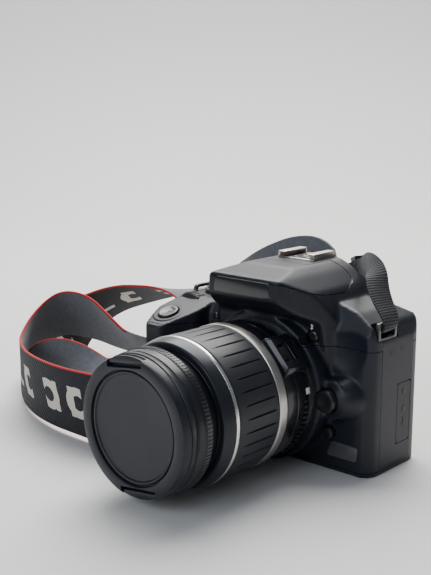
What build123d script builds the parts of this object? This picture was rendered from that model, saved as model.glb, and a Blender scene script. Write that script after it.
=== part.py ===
from build123d import *
import os
from math import cos, radians, sin, tan

# A digital single-lens reflex camera with its standard zoom lens, lens cap and neck strap.
# Millimetres. +X is the terminal side, -Y is the way the lens looks, +Z is up. The origin
# is the mouth of the tripod socket, in the base plane, straight under the lens axis.

# ---- Body, overall -------------------------------------------------------------------
body_width = 126.1
side_face_x = 56.5
front_face_y = -15.0
back_face_y = 28.0
deck_z = 70.3
hump_top_z = 94.4
corner_radius = 8.0
wall = 2.2
overreach = 6.0
grip_face_x = side_face_x - body_width

# ---- Seams between the shells --------------------------------------------------------
seam_y = -6.5
seam_z = 59.6
base_plate_thickness = 2.2
panel_top_z = 64.0
panel_bottom_z = 3.0
panel_rear_y = 19.5

# ---- Lens and mount ------------------------------------------------------------------
lens_axis_z = 36.3
flange_y = -27.0
mount_ring_thickness = 1.5
mount_ring_radius = 32.0
throat_radius = 27.0
boss_radius = 36.0
barrel_radius = 33.5
barrel_front_y = -46.1
guide_outer_radius = 30.8
guide_inner_radius = 29.4
guide_front_y = -77.0
zoom_radius = 33.9
band_radius = 34.2
band_length = 5.3
zoom_front_y = -80.5
collar_length = 6.0
collar_front_radius = 32.6
inner_barrel_radius = 29.0
inner_barrel_bore = 27.4
inner_barrel_rear_y = -52.0
focus_front_y = -101.6
focus_rear_y = -93.0
focus_radius = 32.0
knurl_length = 4.0
filter_front_y = -104.4
filter_radius = 31.4
filter_bore = 27.6
zoom_travel = 5.5
zoom_angle = 62.0

# ---- Lens cap ------------------------------------------------------------------------
cap_front_y = -109.2
cap_radius = 31.0
cap_disc_radius = 24.9
cap_recess = 1.4
cap_turn = 8.0
latch_width = 21.0
latch_travel = 1.4

# ---- Clearances ----------------------------------------------------------------------
button_gap = 0.35
running_fit = 0.05
panel_gap = 0.35
sliding_gap = 0.3

# ---- Grip ----------------------------------------------------------------------------
grip_front_y = -39.0
grip_slope = 21.0
shutter_button_radius = 5.4
shutter_button_place = (-58.4, -27.5)
main_dial_radius = 8.6
main_dial_place = (-58.0, -9.6, 63.4)
main_dial_thickness = 6.4

# ---- Top deck ------------------------------------------------------------------------
mode_dial_place = (-51.0, 9.0)
mode_dial_radius = 9.4
mode_dial_height = 7.0
dial_shaft_radius = 2.0
switch_ring_thickness = 1.6
switch_ring_width = 1.7
shoe_front_y = 1.8
shoe_length = 18.0
shoe_width = 21.5
shoe_slot = 18.7
shoe_lip = 12.6
shoe_height = 3.1
shoe_sheet = 0.8
shoe_base = 0.4

# ---- Pop-up flash --------------------------------------------------------------------
flash_pivot = (8.5, 90.0)
flash_pin_radius = 1.0
flash_heel_radius = 4.6
flash_heel_gap = 0.6
lid_rear_y = -8.0
lobe_inner_x = 14.0

# ---- Mirror, screen, finder ----------------------------------------------------------
mirror_hinge = (8.0, lens_axis_z + 10.5)
mirror_length = 27.0
mirror_half_width = 17.5
mirror_thickness = 1.2
mirror_pin_radius = 0.8
sub_pivot = (-13.0, -1.9)
sub_length = 10.0
sub_half_width = 12.0
sub_pin_radius = 0.5
mirror_box_half = 21.0
mirror_box_wall = 1.6
mirror_box_bottom_z = lens_axis_z - 17.0
mirror_box_top_z = lens_axis_z + 12.6
mirror_box_rear_y = 10.5

# ---- Shutter and sensor --------------------------------------------------------------
gate_width = 24.0
gate_height = 17.0
curtain_travel = 17.0
sensor_width = 22.2
sensor_height = 14.8

# ---- Rear ----------------------------------------------------------------------------
screen_centre = (13.0, 30.2)
screen_size = (60.0, 45.0)
eyecup_size = (36.0, 23.0)
eyecup_centre_z = 74.0
eyecup_rear_y = 34.6
finder_window = (16.0, 10.0)
finder_lens = (18.0, 12.0)
pad_centre = (-43.0, 34.0)
pad_radius = 11.0
set_radius = 4.0

# ---- Battery, card, doors ------------------------------------------------------------
battery_size = (15.0, 35.2, 44.8)
battery_corner = (-65.2, -24.0, 3.4)
card_size = (31.0, 2.1, 24.0)
card_corner = (-62.0, 15.6, 22.0)
door_gap = 0.35
hinge_pin_radius = 0.8

# ---- Tripod socket -------------------------------------------------------------------
socket_bore_radius = 2.6
socket_depth = 5.5
socket_radius = 6.5

# ---- Strap ---------------------------------------------------------------------------
band_width = 38.0
band_thickness = 1.8
webbing_width = 10.0
webbing_thickness = 1.2
lug_thickness = 1.8
lug_depth = 0.8

# Neck band: centre points, each with the direction from the centre to its second edge.
band_route = (
    ((-4.0, 43.5, 79.5), (-0.2, 0.0, -1.0)),
    ((-22.0, 44.0, 83.0), (-0.1, 0.0, -1.0)),
    ((-47.0, 45.0, 73.5), (0.1, 0.0, -1.0)),
    ((-68.0, 47.0, 62.0), (0.35, -0.2, -0.9)),
    ((-92.0, 52.0, 56.0), (0.6, -0.7, -0.5)),
    ((-118.0, 63.0, 54.0), (0.5, -0.8, 0.0)),
    ((-142.0, 66.0, 50.5), (0.6, -0.75, 0.25)),
    ((-164.0, 60.0, 46.5), (0.6, -0.65, 0.45)),
    ((-183.0, 47.0, 41.5), (0.55, -0.55, 0.65)),
    ((-192.0, 30.0, 31.0), (0.3, -0.4, 0.85)),
    ((-190.0, 10.0, 19.5), (-0.3, 0.0, 0.9)),
    ((-178.0, -8.0, 10.0), (-0.7, -0.3, 0.3)),
    ((-163.0, -21.0, 9.5), (-0.5, -0.7, 0.3)),
    ((-146.0, -31.0, 18.6), (-0.4, -0.4, 0.6)),
    ((-128.0, -38.0, 20.0), (-0.1, 0.3, 0.85)),
    ((-106.0, -42.0, 17.0), (0.0, 0.7, 0.65)),
    ((-84.0, -45.0, 16.0), (0.0, 0.6, 0.75)),
    ((-64.0, -46.5, 19.5), (0.0, 0.25, 0.95)),
    ((-49.0, -50.5, 20.5), (0.0, 0.0, 1.0)),
    ((-46.5, -61.0, 20.5), (0.0, 0.0, 1.0)),
    ((-58.0, -69.0, 20.5), (0.15, -0.1, 0.97)),
    ((-80.0, -71.0, 20.5), (0.22, -0.2, 0.95)),
    ((-106.0, -70.0, 20.5), (0.26, -0.22, 0.94)),
    ((-132.0, -63.0, 20.5), (0.3, -0.25, 0.92)),
    ((-155.0, -50.0, 23.0), (0.35, -0.25, 0.9)),
    ((-169.0, -31.0, 34.0), (0.45, -0.2, 0.85)),
    ((-166.0, -12.0, 44.5), (0.5, -0.3, 0.8)),
    ((-149.0, -3.0, 44.0), (0.4, -0.4, 0.8)),
    ((-129.0, 0.0, 36.0), (0.35, -0.6, 0.7)),
    ((-110.0, 4.0, 30.0), (0.2, -0.8, 0.5)),
    ((-94.0, 8.0, 30.0), (0.0, -0.8, 0.6)),
)
# Terminal-side webbing, from its lug up over the shoulder to the neck band.
near_webbing_route = (
    ((53.2, -1.5, 67.6), (0.0, 1.0, 0.0)),
    ((57.4, -1.5, 68.8), (0.0, 1.0, 0.0)),
    ((56.6, -1.5, 74.5), (0.2, 1.0, 0.0)),
    ((52.0, -0.5, 80.0), (0.4, 0.9, 0.0)),
    ((47.5, 1.5, 86.5), (0.5, 0.8, 0.2)),
    ((44.0, 5.5, 93.0), (0.6, 0.5, 0.4)),
    ((35.0, 14.0, 95.0), (0.3, -0.1, 0.9)),
    ((24.0, 28.0, 92.0), (0.1, -0.2, 1.0)),
    ((11.0, 42.0, 84.5), (0.1, -0.1, 1.0)),
    ((-4.0, 43.5, 79.5), (0.0, 0.0, 1.0)),
)
# Grip-side webbing, from the neck band to the lug beside the grip.
far_webbing_route = (
    ((-94.0, 8.0, 30.0), (0.0, -0.8, 0.6)),
    ((-86.5, 11.0, 33.0), (0.1, -0.9, 0.3)),
    ((-82.0, 12.0, 41.0), (0.1, -1.0, 0.0)),
    ((-79.5, 12.0, 49.5), (0.1, -1.0, 0.0)),
    ((-76.0, 11.0, 58.0), (0.0, -1.0, 0.0)),
    ((-73.0, 10.0, 64.0), (0.0, -1.0, 0.0)),
    ((-70.8, 10.0, 68.6), (0.0, -1.0, 0.0)),
    ((-66.2, 10.0, 67.8), (0.0, -1.0, 0.0)),
)


# ---- Drawing helpers -----------------------------------------------------------------
def block(x_range, y_range, z_range):
    """Box between two x, two y and two z values."""
    low = (x_range[0], y_range[0], z_range[0])
    high = (x_range[1], y_range[1], z_range[1])
    centre = [(a + b) / 2 for a, b in zip(low, high)]
    return Pos(*centre) * Box(*[b - a for a, b in zip(low, high)])


def rod_x(radius, x_range, y, z):
    """Cylinder along X."""
    length = x_range[1] - x_range[0]
    return Pos(sum(x_range) / 2, y, z) * Rot(0, 90, 0) * Cylinder(radius, length)


def rod_y(radius, y_range, x, z):
    """Cylinder along Y."""
    length = y_range[1] - y_range[0]
    return Pos(x, sum(y_range) / 2, z) * Rot(90, 0, 0) * Cylinder(radius, length)


def rod_z(radius, z_range, x, y):
    """Cylinder along Z."""
    return Pos(x, y, sum(z_range) / 2) * Cylinder(radius, z_range[1] - z_range[0])


def tube_y(outer, inner, y_range):
    """Tube about the lens axis."""
    long_bore = (y_range[0] - 1, y_range[1] + 1)
    return rod_y(outer, y_range, 0, lens_axis_z) - rod_y(inner, long_bore, 0, lens_axis_z)


def outline(points, radius, inset):
    """Closed face through points, corners rounded, edge drawn in by inset."""
    face = make_face(Polyline(*points, close=True))
    face = fillet(face.vertices(), radius)
    return offset(face, amount=-inset) if inset else face


def seen_from_front(points, radius, inset):
    """Solid with the given front view (x, z), long in Y."""
    return extrude(Plane.XZ.offset(-60) * outline(points, radius, inset), 120)


def seen_from_side(points, radius, inset):
    """Solid with the given side view (y, z), long in X."""
    return extrude(Plane.YZ.offset(-90) * outline(points, radius, inset), 180)


def seen_from_above(points, radius, inset):
    """Solid with the given plan (x, y), long in Z."""
    return extrude(Plane.XY.offset(-5) * outline(points, radius, inset), 120)


def plate_y(size, y_range, x, z, radius):
    """Upright plate with rounded corners, thick in Y."""
    face = Plane.XZ.offset(-y_range[1]) * Pos(x, z) * RectangleRounded(*size, radius)
    return extrude(face, y_range[1] - y_range[0])


def write(name, *solids):
    """Write one sub-part."""
    shape = solids[0] if len(solids) == 1 else Compound(children=list(solids))
    shape.label = name
    export_step(shape, f"parts/{name}.step")


# ---- Body outside, drawn once and used for the shells and for their insides ----------
def core_form(inset):
    """Main block of the body, between the grip and the terminal side."""
    left = grip_face_x + 0.8
    front = [(left - overreach, 0), (left - overreach, deck_z - 13.5), (left + 7, deck_z - 0.6),
             (-36, deck_z - 0.6), (-28, 78), (30, 79), (44, 75.5), (side_face_x - 2.5, deck_z),
             (side_face_x + overreach, deck_z - 24.7), (side_face_x + overreach, 0)]
    side = [(front_face_y - overreach, -overreach), (front_face_y - overreach, 52.7), (-7, 79),
            (14, 80), (back_face_y + overreach, 67.1), (back_face_y + overreach, -overreach)]
    plan = [(left, front_face_y), (side_face_x, front_face_y), (side_face_x, back_face_y),
            (left, back_face_y)]
    body = seen_from_above(plan, corner_radius, inset) & seen_from_front(front, 2.5, inset)
    return body & seen_from_side(side, 2.5, inset)


def grip_form(inset):
    """Hand grip, with its sloping top."""
    front = [(grip_face_x - overreach, 0), (grip_face_x - overreach, 58), (grip_face_x + 6, deck_z),
             (-39, deck_z), (-37, 0)]
    front_z = deck_z - (-9 - grip_front_y + overreach) * tan(radians(grip_slope))
    side = [(40, -overreach), (40, deck_z + 3), (-9, deck_z + 0.5),
            (grip_front_y - overreach, front_z), (grip_front_y - overreach, -overreach)]
    lean = [(40, -overreach), (40, 90), (grip_front_y - 1, 90), (grip_front_y, 50),
            (grip_front_y + 5.5, -overreach)]
    plan = [(grip_face_x, 24.5), (grip_face_x, -24), (-64, grip_front_y - 1),
            (-54, grip_front_y - 1), (-42, -20), (-40, 24.5)]
    body = seen_from_above(plan, 5.5, inset) & seen_from_front(front, 2.5, inset)
    return body & seen_from_side(side, 2.5, inset) & seen_from_side(lean, 2.5, inset)


def hump_form(inset):
    """Finder housing with its overhanging nose and the lobes of the flash head."""
    front = [(-38, 50), (-36, 70), (-29.5, 84), (-20, 91), (-14, hump_top_z),
             (14, hump_top_z), (20, 91), (29.5, 84), (36, 70), (38, 50)]
    side = [(back_face_y - 1, 44), (back_face_y - 1, 80), (22, 87), (20, 100), (-12, 100),
            (-20, hump_top_z - 0.6), (-38, 91), (-38.5, 81), (-30, 75), (-19, 70), (-15, 44)]
    plan = [(-44, back_face_y + overreach), (-44, 2), (-20, -40), (19, -40), (44, 2),
            (44, back_face_y + overreach)]
    body = seen_from_above(plan, 4.0, inset) & seen_from_front(front, 2.4, inset)
    return body & seen_from_side(side, 2.4, inset)


def mount_boss_form(inset):
    """Round swelling that carries the lens mount."""
    front = flange_y + mount_ring_thickness + inset
    boss = rod_y(boss_radius - inset, (front, 0), 0, lens_axis_z)
    return boss & block((-60, 60), (-60, 60), (inset, 90))


def release_boss_form(inset):
    """Domed swelling around the lens release button."""
    return rod_y(9.4 - inset, (-23.0 + inset, 0), 38.5, lens_axis_z)


def body_form(inset):
    """Whole body outside, drawn in by inset."""
    body = core_form(inset) + grip_form(inset) + hump_form(inset)
    return body + mount_boss_form(inset) + release_boss_form(inset)


def lid_zone(gap):
    """Space of the flash head, its lower face following the seam under the lobes."""
    pivot_y, pivot_z = flash_pivot
    side = [(-60, 90.2 + gap), (-36, 89.6 + gap), (-24, 84.4 + gap), (-8, 82.5 + gap), (2, 82.2 + gap),
            (pivot_y, pivot_z - flash_heel_radius + gap), (pivot_y, 120), (-60, 120)]
    face = make_face(Polyline(*side, close=True))
    zone = extrude(Plane.YZ.offset(-50) * face, 100)
    heel_gap = flash_heel_gap if gap < 0 else 0.0
    zone += rod_x(flash_heel_radius + heel_gap, (-50, 50), *flash_pivot)
    centre = block((-lobe_inner_x - gap, lobe_inner_x + gap), (lid_rear_y - gap, 40), (70, 120))
    return zone - centre


body_outer = body_form(0)
body_cavity = body_form(wall)

# ---- Places of the buttons -----------------------------------------------------------
rear_buttons = {
    "menu_button": (42.0, 56.4, 2.4), "display_button": (32.0, 56.4, 2.4),
    "exposure_comp_button": (-27.0, 50.0, 2.6), "play_button": (-30.0, 14.0, 2.6),
    "erase_button": (-43.0, 14.0, 2.6), "exposure_lock_button": (-48.5, 54.0, 2.6),
    "focus_point_button": (-58.5, 54.0, 2.6),
}
front_buttons = {
    "flash_button": (26.0, 63.6, 2.7, -16.2, front_face_y),
    "lens_release_button": (38.5, lens_axis_z, 5.2, -26.0, -23.0),
    "depth_preview_button": (35.0, 18.6, 2.8, -18.2, front_face_y),
}
flange_thickness = 0.9
flange_extra = 1.0


def rear_button(x, z, radius):
    """Cap and hidden flange of a button on the back."""
    inner_y = back_face_y - wall
    cap = rod_y(radius, (inner_y - 0.4, back_face_y + 0.9), x, z)
    flange = rod_y(radius + flange_extra, (inner_y - 0.4 - flange_thickness, inner_y - 0.4), x, z)
    return fillet(cap.edges().sort_by(Axis.Y)[-1], 0.5) + flange


def front_button(x, z, radius, tip_y, face_y):
    """Cap and hidden flange of a button on the front."""
    inner_y = face_y + wall
    cap = rod_y(radius, (tip_y, inner_y + 0.4), x, z)
    flange = rod_y(radius + flange_extra, (inner_y + 0.4, inner_y + 0.4 + flange_thickness), x, z)
    return fillet(cap.edges().sort_by(Axis.Y)[0], 0.6) + flange


slope_rear_y = -9.0
slope_fall = 0.935 * tan(radians(grip_slope))
slope_z = deck_z - (slope_rear_y - shutter_button_place[1]) * slope_fall
button_seat = Pos(*shutter_button_place, slope_z) * Rot(grip_slope, 0, 0)

# ---- Holes through the shells --------------------------------------------------------
holes = rod_y(throat_radius + 0.2, (-40, -10), 0, lens_axis_z)
for bx, bz, br in rear_buttons.values():
    holes += rod_y(br + button_gap, (back_face_y - 8, back_face_y + 5), bx, bz)
for bx, bz, br, _tip, _face in front_buttons.values():
    holes += rod_y(br + button_gap, (-40, -8), bx, bz)
holes += rod_y(pad_radius + button_gap, (20, 40), pad_centre[0], pad_centre[1])
holes += plate_y(screen_size, (20, 40), *screen_centre, 1.0)
holes += plate_y(finder_window, (15, 40), 0, eyecup_centre_z, 1.5)
holes += button_seat * Cylinder(shutter_button_radius + button_gap, 16)
holes += rod_y(main_dial_radius + 0.6,
               (main_dial_place[1] - main_dial_thickness / 2 - 0.5,
                main_dial_place[1] + main_dial_thickness / 2 + 0.5),
               main_dial_place[0], main_dial_place[2]) & block((-90, 0), (-60, 60), (62, 90))
holes += rod_z(dial_shaft_radius + running_fit, (60, 90), *mode_dial_place)
iso_place = (-43.5, -4.0)
iso_radius = 2.2
holes += rod_z(iso_radius + button_gap, (60, 90), *iso_place)
diopter_place = (22.5, 80.5)
diopter_radius = 3.0
holes += rod_y(diopter_radius + button_gap, (18, 40), *diopter_place)
lid_space = lid_zone(-panel_gap)

battery_low = battery_corner
battery_high = tuple(a + b for a, b in zip(battery_corner, battery_size))
door_x = (battery_low[0] - 1.2, battery_high[0] + 1.2)
door_y = (battery_low[1] - 1.2, battery_high[1] + 1.2)
bay = block((battery_low[0] - 0.3, battery_high[0] + 0.3),
            (battery_low[1] - 0.3, battery_high[1] + 0.3), (-1, battery_high[2] + 0.3))
door_hole = block(door_x, door_y, (-1, base_plate_thickness + 0.9))
card_low = card_corner
card_high = tuple(a + b for a, b in zip(card_corner, card_size))
card_door_y = (card_low[1] - 5.0, card_high[1] + 0.9)
card_door_z = (card_low[2] - 4.0, card_high[2] + 4.0)
card_hole = block((grip_face_x - 1, grip_face_x + wall + 0.4), card_door_y, card_door_z)
bushing_hole = rod_z(socket_radius, (-1, 8), 0, 0)

# ---- Body shells ---------------------------------------------------------------------
shell = body_outer - body_cavity - holes - card_hole - door_hole - bushing_hole
far = 200
front_zone = block((-far, far), (-far, seam_y), (base_plate_thickness, seam_z))
rear_zone = block((-far, far), (seam_y, far), (base_plate_thickness, seam_z))
top_zone = block((-far, far), (-far, far), (seam_z, far))
base_zone = block((-far, far), (-far, far), (-1, base_plate_thickness))
panel_zone = block((side_face_x - wall, far), (seam_y, panel_rear_y), (panel_bottom_z, panel_top_z))

cover_y = (7.5, panel_rear_y - 1.0)
cover_z = (12.0, 41.0)
cover_thickness = 1.2
cover_pocket = block((side_face_x - cover_thickness - 0.3, far), (cover_y[0] - 0.3, cover_y[1] + 0.3),
                     (cover_z[0] - 0.3, cover_z[1] + 0.3))
socket_ports = [(13.0, 34.5, 3.0, 4.5), (13.0, 26.5, 3.5, 2.4), (13.0, 18.5, 3.5, 1.6)]

base_ring = rod_z(socket_radius, (0, socket_depth + 2.0), 0, 0)
front_shell = (shell & front_zone) - panel_zone
rear_shell = (shell & rear_zone) - panel_zone
top_cover = (shell & top_zone) - panel_zone - lid_space
base_plate = (body_outer & base_zone) - door_hole - bushing_hole

# Finder tunnel behind the window, and the brackets of the main dial, in the top cover.
finder_tunnel = plate_y((finder_lens[0] + 3, finder_lens[1] + 3), (16, back_face_y - 1), 0,
                        eyecup_centre_z, 2.0)
finder_tunnel -= plate_y(finder_lens, (15, 24.5), 0, eyecup_centre_z, 1.5)
finder_tunnel -= plate_y(finder_window, (15, 40), 0, eyecup_centre_z, 1.5)
finder_tunnel &= body_cavity
dial_y = main_dial_place[1]
dial_half = main_dial_thickness / 2
brackets = Part()
for near, outer in ((dial_half + 0.5, dial_half + 1.9), (-dial_half - 1.9, -dial_half - 0.5)):
    brackets += block((main_dial_place[0] - 4, main_dial_place[0] + 4),
                      (dial_y + near, dial_y + outer), (main_dial_place[2] - 4, deck_z))
brackets &= body_cavity
brackets -= rod_y(1.2 + running_fit, (-40, 20), main_dial_place[0], main_dial_place[2])
flash_ears = Part()
for ex in (-lobe_inner_x + 3.4, lobe_inner_x - 3.4):
    flash_ears += block((ex - 1.2, ex + 1.2), (flash_pivot[0] - 3, flash_pivot[0] + 3),
                        (flash_pivot[1] - 3.5, hump_top_z - wall + 0.5))
flash_ears &= body_cavity
flash_bore = rod_x(flash_pin_radius + running_fit, (-32, 32), *flash_pivot)
top_cover = (top_cover + finder_tunnel + brackets + flash_ears) - flash_bore
eyepiece_lens = plate_y(finder_lens, (19.0, 24.5), 0, eyecup_centre_z, 1.5)
top_cover -= eyepiece_lens

panel = (body_outer & panel_zone) - cover_pocket
for py, pz, half_y, half_z in socket_ports:
    panel -= block((side_face_x - 3, far), (py - half_y, py + half_y), (pz - half_z, pz + half_z))
cover = body_outer & block((side_face_x - cover_thickness, far), cover_y, cover_z)

# ---- Pop-up flash head ---------------------------------------------------------------
lid = (hump_form(0) & lid_zone(0)) - (hump_form(wall) & lid_zone(-1))
flash_box = block((-15, 15), (-34.5, -26), (84.0, hump_top_z)) & hump_form(wall - 0.4)
arms = Part()
for sign in (-1, 1):
    arm = block(sorted((sign * (lobe_inner_x + 1.0), sign * (lobe_inner_x + 4.0))),
                (-28, flash_pivot[0] + 2.0), (flash_pivot[1] - 3.0, hump_top_z))
    arms += arm
arms &= hump_form(0.8) & lid_zone(0)
flash_pins = Part()
for sign in (-1, 1):
    flash_pins += rod_x(flash_pin_radius, sorted((sign * (lobe_inner_x - 4.6), sign * 18.0)), *flash_pivot)
flash_head = lid + arms + flash_pins + flash_box

# ---- Hot shoe ------------------------------------------------------------------------
shoe_rear_y = shoe_front_y + shoe_length
shoe_z = hump_top_z
hot_shoe = block((-shoe_width / 2, shoe_width / 2), (shoe_front_y, shoe_rear_y),
                 (shoe_z, shoe_z + shoe_height))
hot_shoe -= block((-shoe_slot / 2, shoe_slot / 2), (shoe_front_y - 1, shoe_rear_y - 1.2),
                  (shoe_z + shoe_base, shoe_z + shoe_height - shoe_sheet))
hot_shoe -= block((-shoe_lip / 2, shoe_lip / 2), (shoe_front_y - 1, shoe_rear_y + 1),
                  (shoe_z + shoe_base, shoe_z + shoe_height + 1))

# ---- Mount ring and mirror box -------------------------------------------------------
mount_ring = tube_y(mount_ring_radius, throat_radius, (flange_y, flange_y + mount_ring_thickness))
box_front_y = flange_y + mount_ring_thickness + wall
mirror_box = block((-mirror_box_half, mirror_box_half), (box_front_y, mirror_box_rear_y),
                   (mirror_box_bottom_z, mirror_box_top_z))
mirror_box -= block((-mirror_box_half + mirror_box_wall, mirror_box_half - mirror_box_wall),
                    (box_front_y - 1, mirror_box_rear_y + 1),
                    (mirror_box_bottom_z + mirror_box_wall, mirror_box_top_z + 1))
mirror_box -= rod_x(mirror_pin_radius + running_fit, (-40, 40), *mirror_hinge)

mirror_seat = Pos(0, *mirror_hinge) * Rot(45, 0, 0)
mirror = block((-mirror_half_width, mirror_half_width), (-mirror_length, 0.6), (-mirror_thickness, 0))
mirror += rod_x(mirror_pin_radius, (-mirror_box_half + 0.2, mirror_box_half - 0.2), 0, 0)
for sign in (-1, 1):
    ear = block(sorted((sign * (sub_half_width + 0.5), sign * (sub_half_width + 2.0))),
                (sub_pivot[0] - 1.4, sub_pivot[0] + 1.4), (sub_pivot[1] - 1.2, -mirror_thickness))
    mirror += ear - rod_x(sub_pin_radius + running_fit, (-20, 20), *sub_pivot)
sub_mirror = block((-sub_half_width, sub_half_width), (sub_pivot[0] - 0.3, sub_pivot[0] + 0.3),
                   (sub_pivot[1] - sub_length, sub_pivot[1]))
sub_mirror += rod_x(sub_pin_radius, (-sub_half_width - 2.0, sub_half_width + 2.0), *sub_pivot)

# ---- Finder optics -------------------------------------------------------------------
screen_z = mirror_box_top_z
focusing_screen = block((-mirror_box_half, mirror_box_half), (-19, 6), (screen_z, screen_z + 1.5))
prism_profile = [(-17, screen_z + 1.5), (7, screen_z + 1.5), (13, 60), (13, 67), (4, 74), (-8, 74), (-17, 62)]
pentamirror = extrude(Plane.YZ.offset(-13) * make_face(Polyline(*prism_profile, close=True)), 26)
eyecup = plate_y(eyecup_size, (back_face_y - 5, eyecup_rear_y), 0, eyecup_centre_z, 5.0)
eyecup -= plate_y((finder_window[0] + 4, finder_window[1] + 3), (0, 60), 0, eyecup_centre_z, 3.0)
eyecup -= body_outer

# ---- Shutter and sensor --------------------------------------------------------------
gate_y = (mirror_box_rear_y, mirror_box_rear_y + 1.5)
shutter_frame = block((-22, 22), gate_y, (6, lens_axis_z + 17.5))
shutter_frame -= block((-gate_width / 2, gate_width / 2), (0, 30),
                       (lens_axis_z - gate_height / 2, lens_axis_z + gate_height / 2))
curtain_y = (gate_y[1] + sliding_gap, gate_y[1] + sliding_gap + 0.5)
curtain_half = gate_width / 2 + 1.0
for sign in (-1, 1):
    shutter_frame += block(sorted((sign * (curtain_half + sliding_gap), sign * (curtain_half + 2.0))),
                           (gate_y[1], curtain_y[1] + sliding_gap), (6, lens_axis_z + 17.5))
shutter_curtain = block((-curtain_half, curtain_half), curtain_y,
                        (lens_axis_z - gate_height / 2 - 1, lens_axis_z + gate_height / 2 + 1))
sensor_y = curtain_y[1] + sliding_gap
image_sensor = block((-sensor_width / 2 - 2, sensor_width / 2 + 2), (sensor_y + 0.2, sensor_y + 2.0),
                     (lens_axis_z - sensor_height / 2 - 2, lens_axis_z + sensor_height / 2 + 2))
image_sensor += block((-20, 20), (sensor_y + 2.0, sensor_y + 3.2), (lens_axis_z - 16, lens_axis_z + 16))
for sign in (-1, 1):
    image_sensor += block(sorted((sign * 17.0, sign * 19.5)), (gate_y[1], sensor_y + 2.2),
                          (lens_axis_z - 14, lens_axis_z + 14))
board_y = sensor_y + 5.0
main_board = block((-28, 48), (board_y, board_y + 1.6), (4, 52))
for bx, bz in ((-26, 6), (46, 6), (-26, 40), (46, 50)):
    main_board += rod_y(1.6, (board_y + 1.6, back_face_y - wall), bx, bz)
for bx in (-16, 16):
    main_board += rod_y(1.6, (sensor_y + 3.2, board_y), bx, lens_axis_z)

# ---- Rear screen and pad -------------------------------------------------------------
rear_screen = plate_y(screen_size, (back_face_y - 3.0, back_face_y - 0.6), *screen_centre, 1.0)
pad_y = (back_face_y - wall - 0.4, back_face_y + 0.9)
cross_key_pad = rod_y(pad_radius, pad_y, *pad_centre)
cross_key_pad = fillet(cross_key_pad.edges().sort_by(Axis.Y)[-1], 0.6)
cross_key_pad -= rod_y(set_radius + button_gap, (0, 60), *pad_centre)
cross_key_pad += (rod_y(pad_radius + 1.0, (pad_y[0] - 0.9, pad_y[0]), *pad_centre)
                  - rod_y(set_radius + button_gap, (0, 60), *pad_centre))
set_button = rod_y(set_radius, (pad_y[0] - 2.2, back_face_y + 0.6), *pad_centre)
set_button += rod_y(set_radius + 1.2, (pad_y[0] - 3.1, pad_y[0] - 2.2), *pad_centre)

# ---- Battery, card and doors ---------------------------------------------------------
battery = block(*zip(battery_low, battery_high))
battery_holder = block((battery_low[0] - 1.5, battery_high[0] + 1.5),
                       (battery_low[1] - 1.5, battery_high[1] + 1.5),
                       (base_plate_thickness + 1.6, battery_high[2] + 1.5)) - bay
battery_rest = block((battery_low[0], battery_high[0]), (battery_low[1], battery_low[1] + 3),
                     (battery_high[2], battery_high[2] + 0.3))
battery_holder += battery_rest
memory_card = block(*zip(card_low, card_high))
card_slot = block((card_low[0] + 3, card_high[0] + 1.5), (card_low[1] - 1.2, card_high[1] + 1.2),
                  (card_low[2] - 1.5, card_high[2] + 1.5))
card_slot -= block((card_low[0] - 5, card_high[0]), (card_low[1], card_high[1]), (card_low[2], card_high[2]))
card_slot += block((card_low[0] + 3, card_low[0] + 6), (card_high[1] + 1.2, back_face_y - wall),
                   (card_low[2] + 4, card_high[2] - 4))
battery_door = block((door_x[0] + door_gap, door_x[1] - door_gap), (door_y[0] + door_gap, door_y[1] - door_gap),
                     (0.15, base_plate_thickness))
battery_hinge = (door_x[1] - door_gap - hinge_pin_radius, base_plate_thickness)
card_door = body_outer & block((grip_face_x, grip_face_x + 1.6),
                               (card_door_y[0] + door_gap, card_door_y[1] - door_gap),
                               (card_door_z[0] + door_gap, card_door_z[1] - door_gap))

# ---- Tripod socket -------------------------------------------------------------------
tripod_socket = base_ring - rod_z(socket_bore_radius, (-1, socket_depth), 0, 0)

# ---- Top controls --------------------------------------------------------------------
shutter_button = Cylinder(shutter_button_radius, 4.2)
shutter_button = fillet(shutter_button.edges().sort_by(Axis.Z)[-1], 0.8)
shutter_button += Pos(0, 0, -2.6) * Cylinder(shutter_button_radius + 0.6, 1.0)
shutter_button -= Pos(0, 0, 2.1 + 17.6) * Sphere(18.0)
shutter_button = button_seat * Pos(0, 0, -1.0) * shutter_button

main_dial = rod_y(main_dial_radius, (dial_y - dial_half, dial_y + dial_half), main_dial_place[0],
                  main_dial_place[2])
knurl_count = 30
for k in range(knurl_count):
    turn = radians(360 / knurl_count * k)
    main_dial -= rod_y(0.45, (dial_y - dial_half - 1, dial_y + dial_half + 1),
                       main_dial_place[0] + (main_dial_radius + 0.1) * cos(turn),
                       main_dial_place[2] + (main_dial_radius + 0.1) * sin(turn))
main_dial += rod_y(1.2, (dial_y - dial_half - 1.7, dial_y + dial_half + 1.7), main_dial_place[0],
                   main_dial_place[2])

dial_base_z = deck_z + 0.5
mode_dial = rod_z(mode_dial_radius, (dial_base_z, dial_base_z + mode_dial_height), *mode_dial_place)
mode_dial = fillet(mode_dial.edges().sort_by(Axis.Z)[-1], 0.7)
for k in range(40):
    turn = radians(9 * k)
    mode_dial -= rod_z(0.4, (dial_base_z - 1, dial_base_z + mode_dial_height - 1.4),
                       mode_dial_place[0] + (mode_dial_radius + 0.05) * cos(turn),
                       mode_dial_place[1] + (mode_dial_radius + 0.05) * sin(turn))
mode_dial += rod_z(dial_shaft_radius, (deck_z - wall - 3, dial_base_z), *mode_dial_place)

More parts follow.
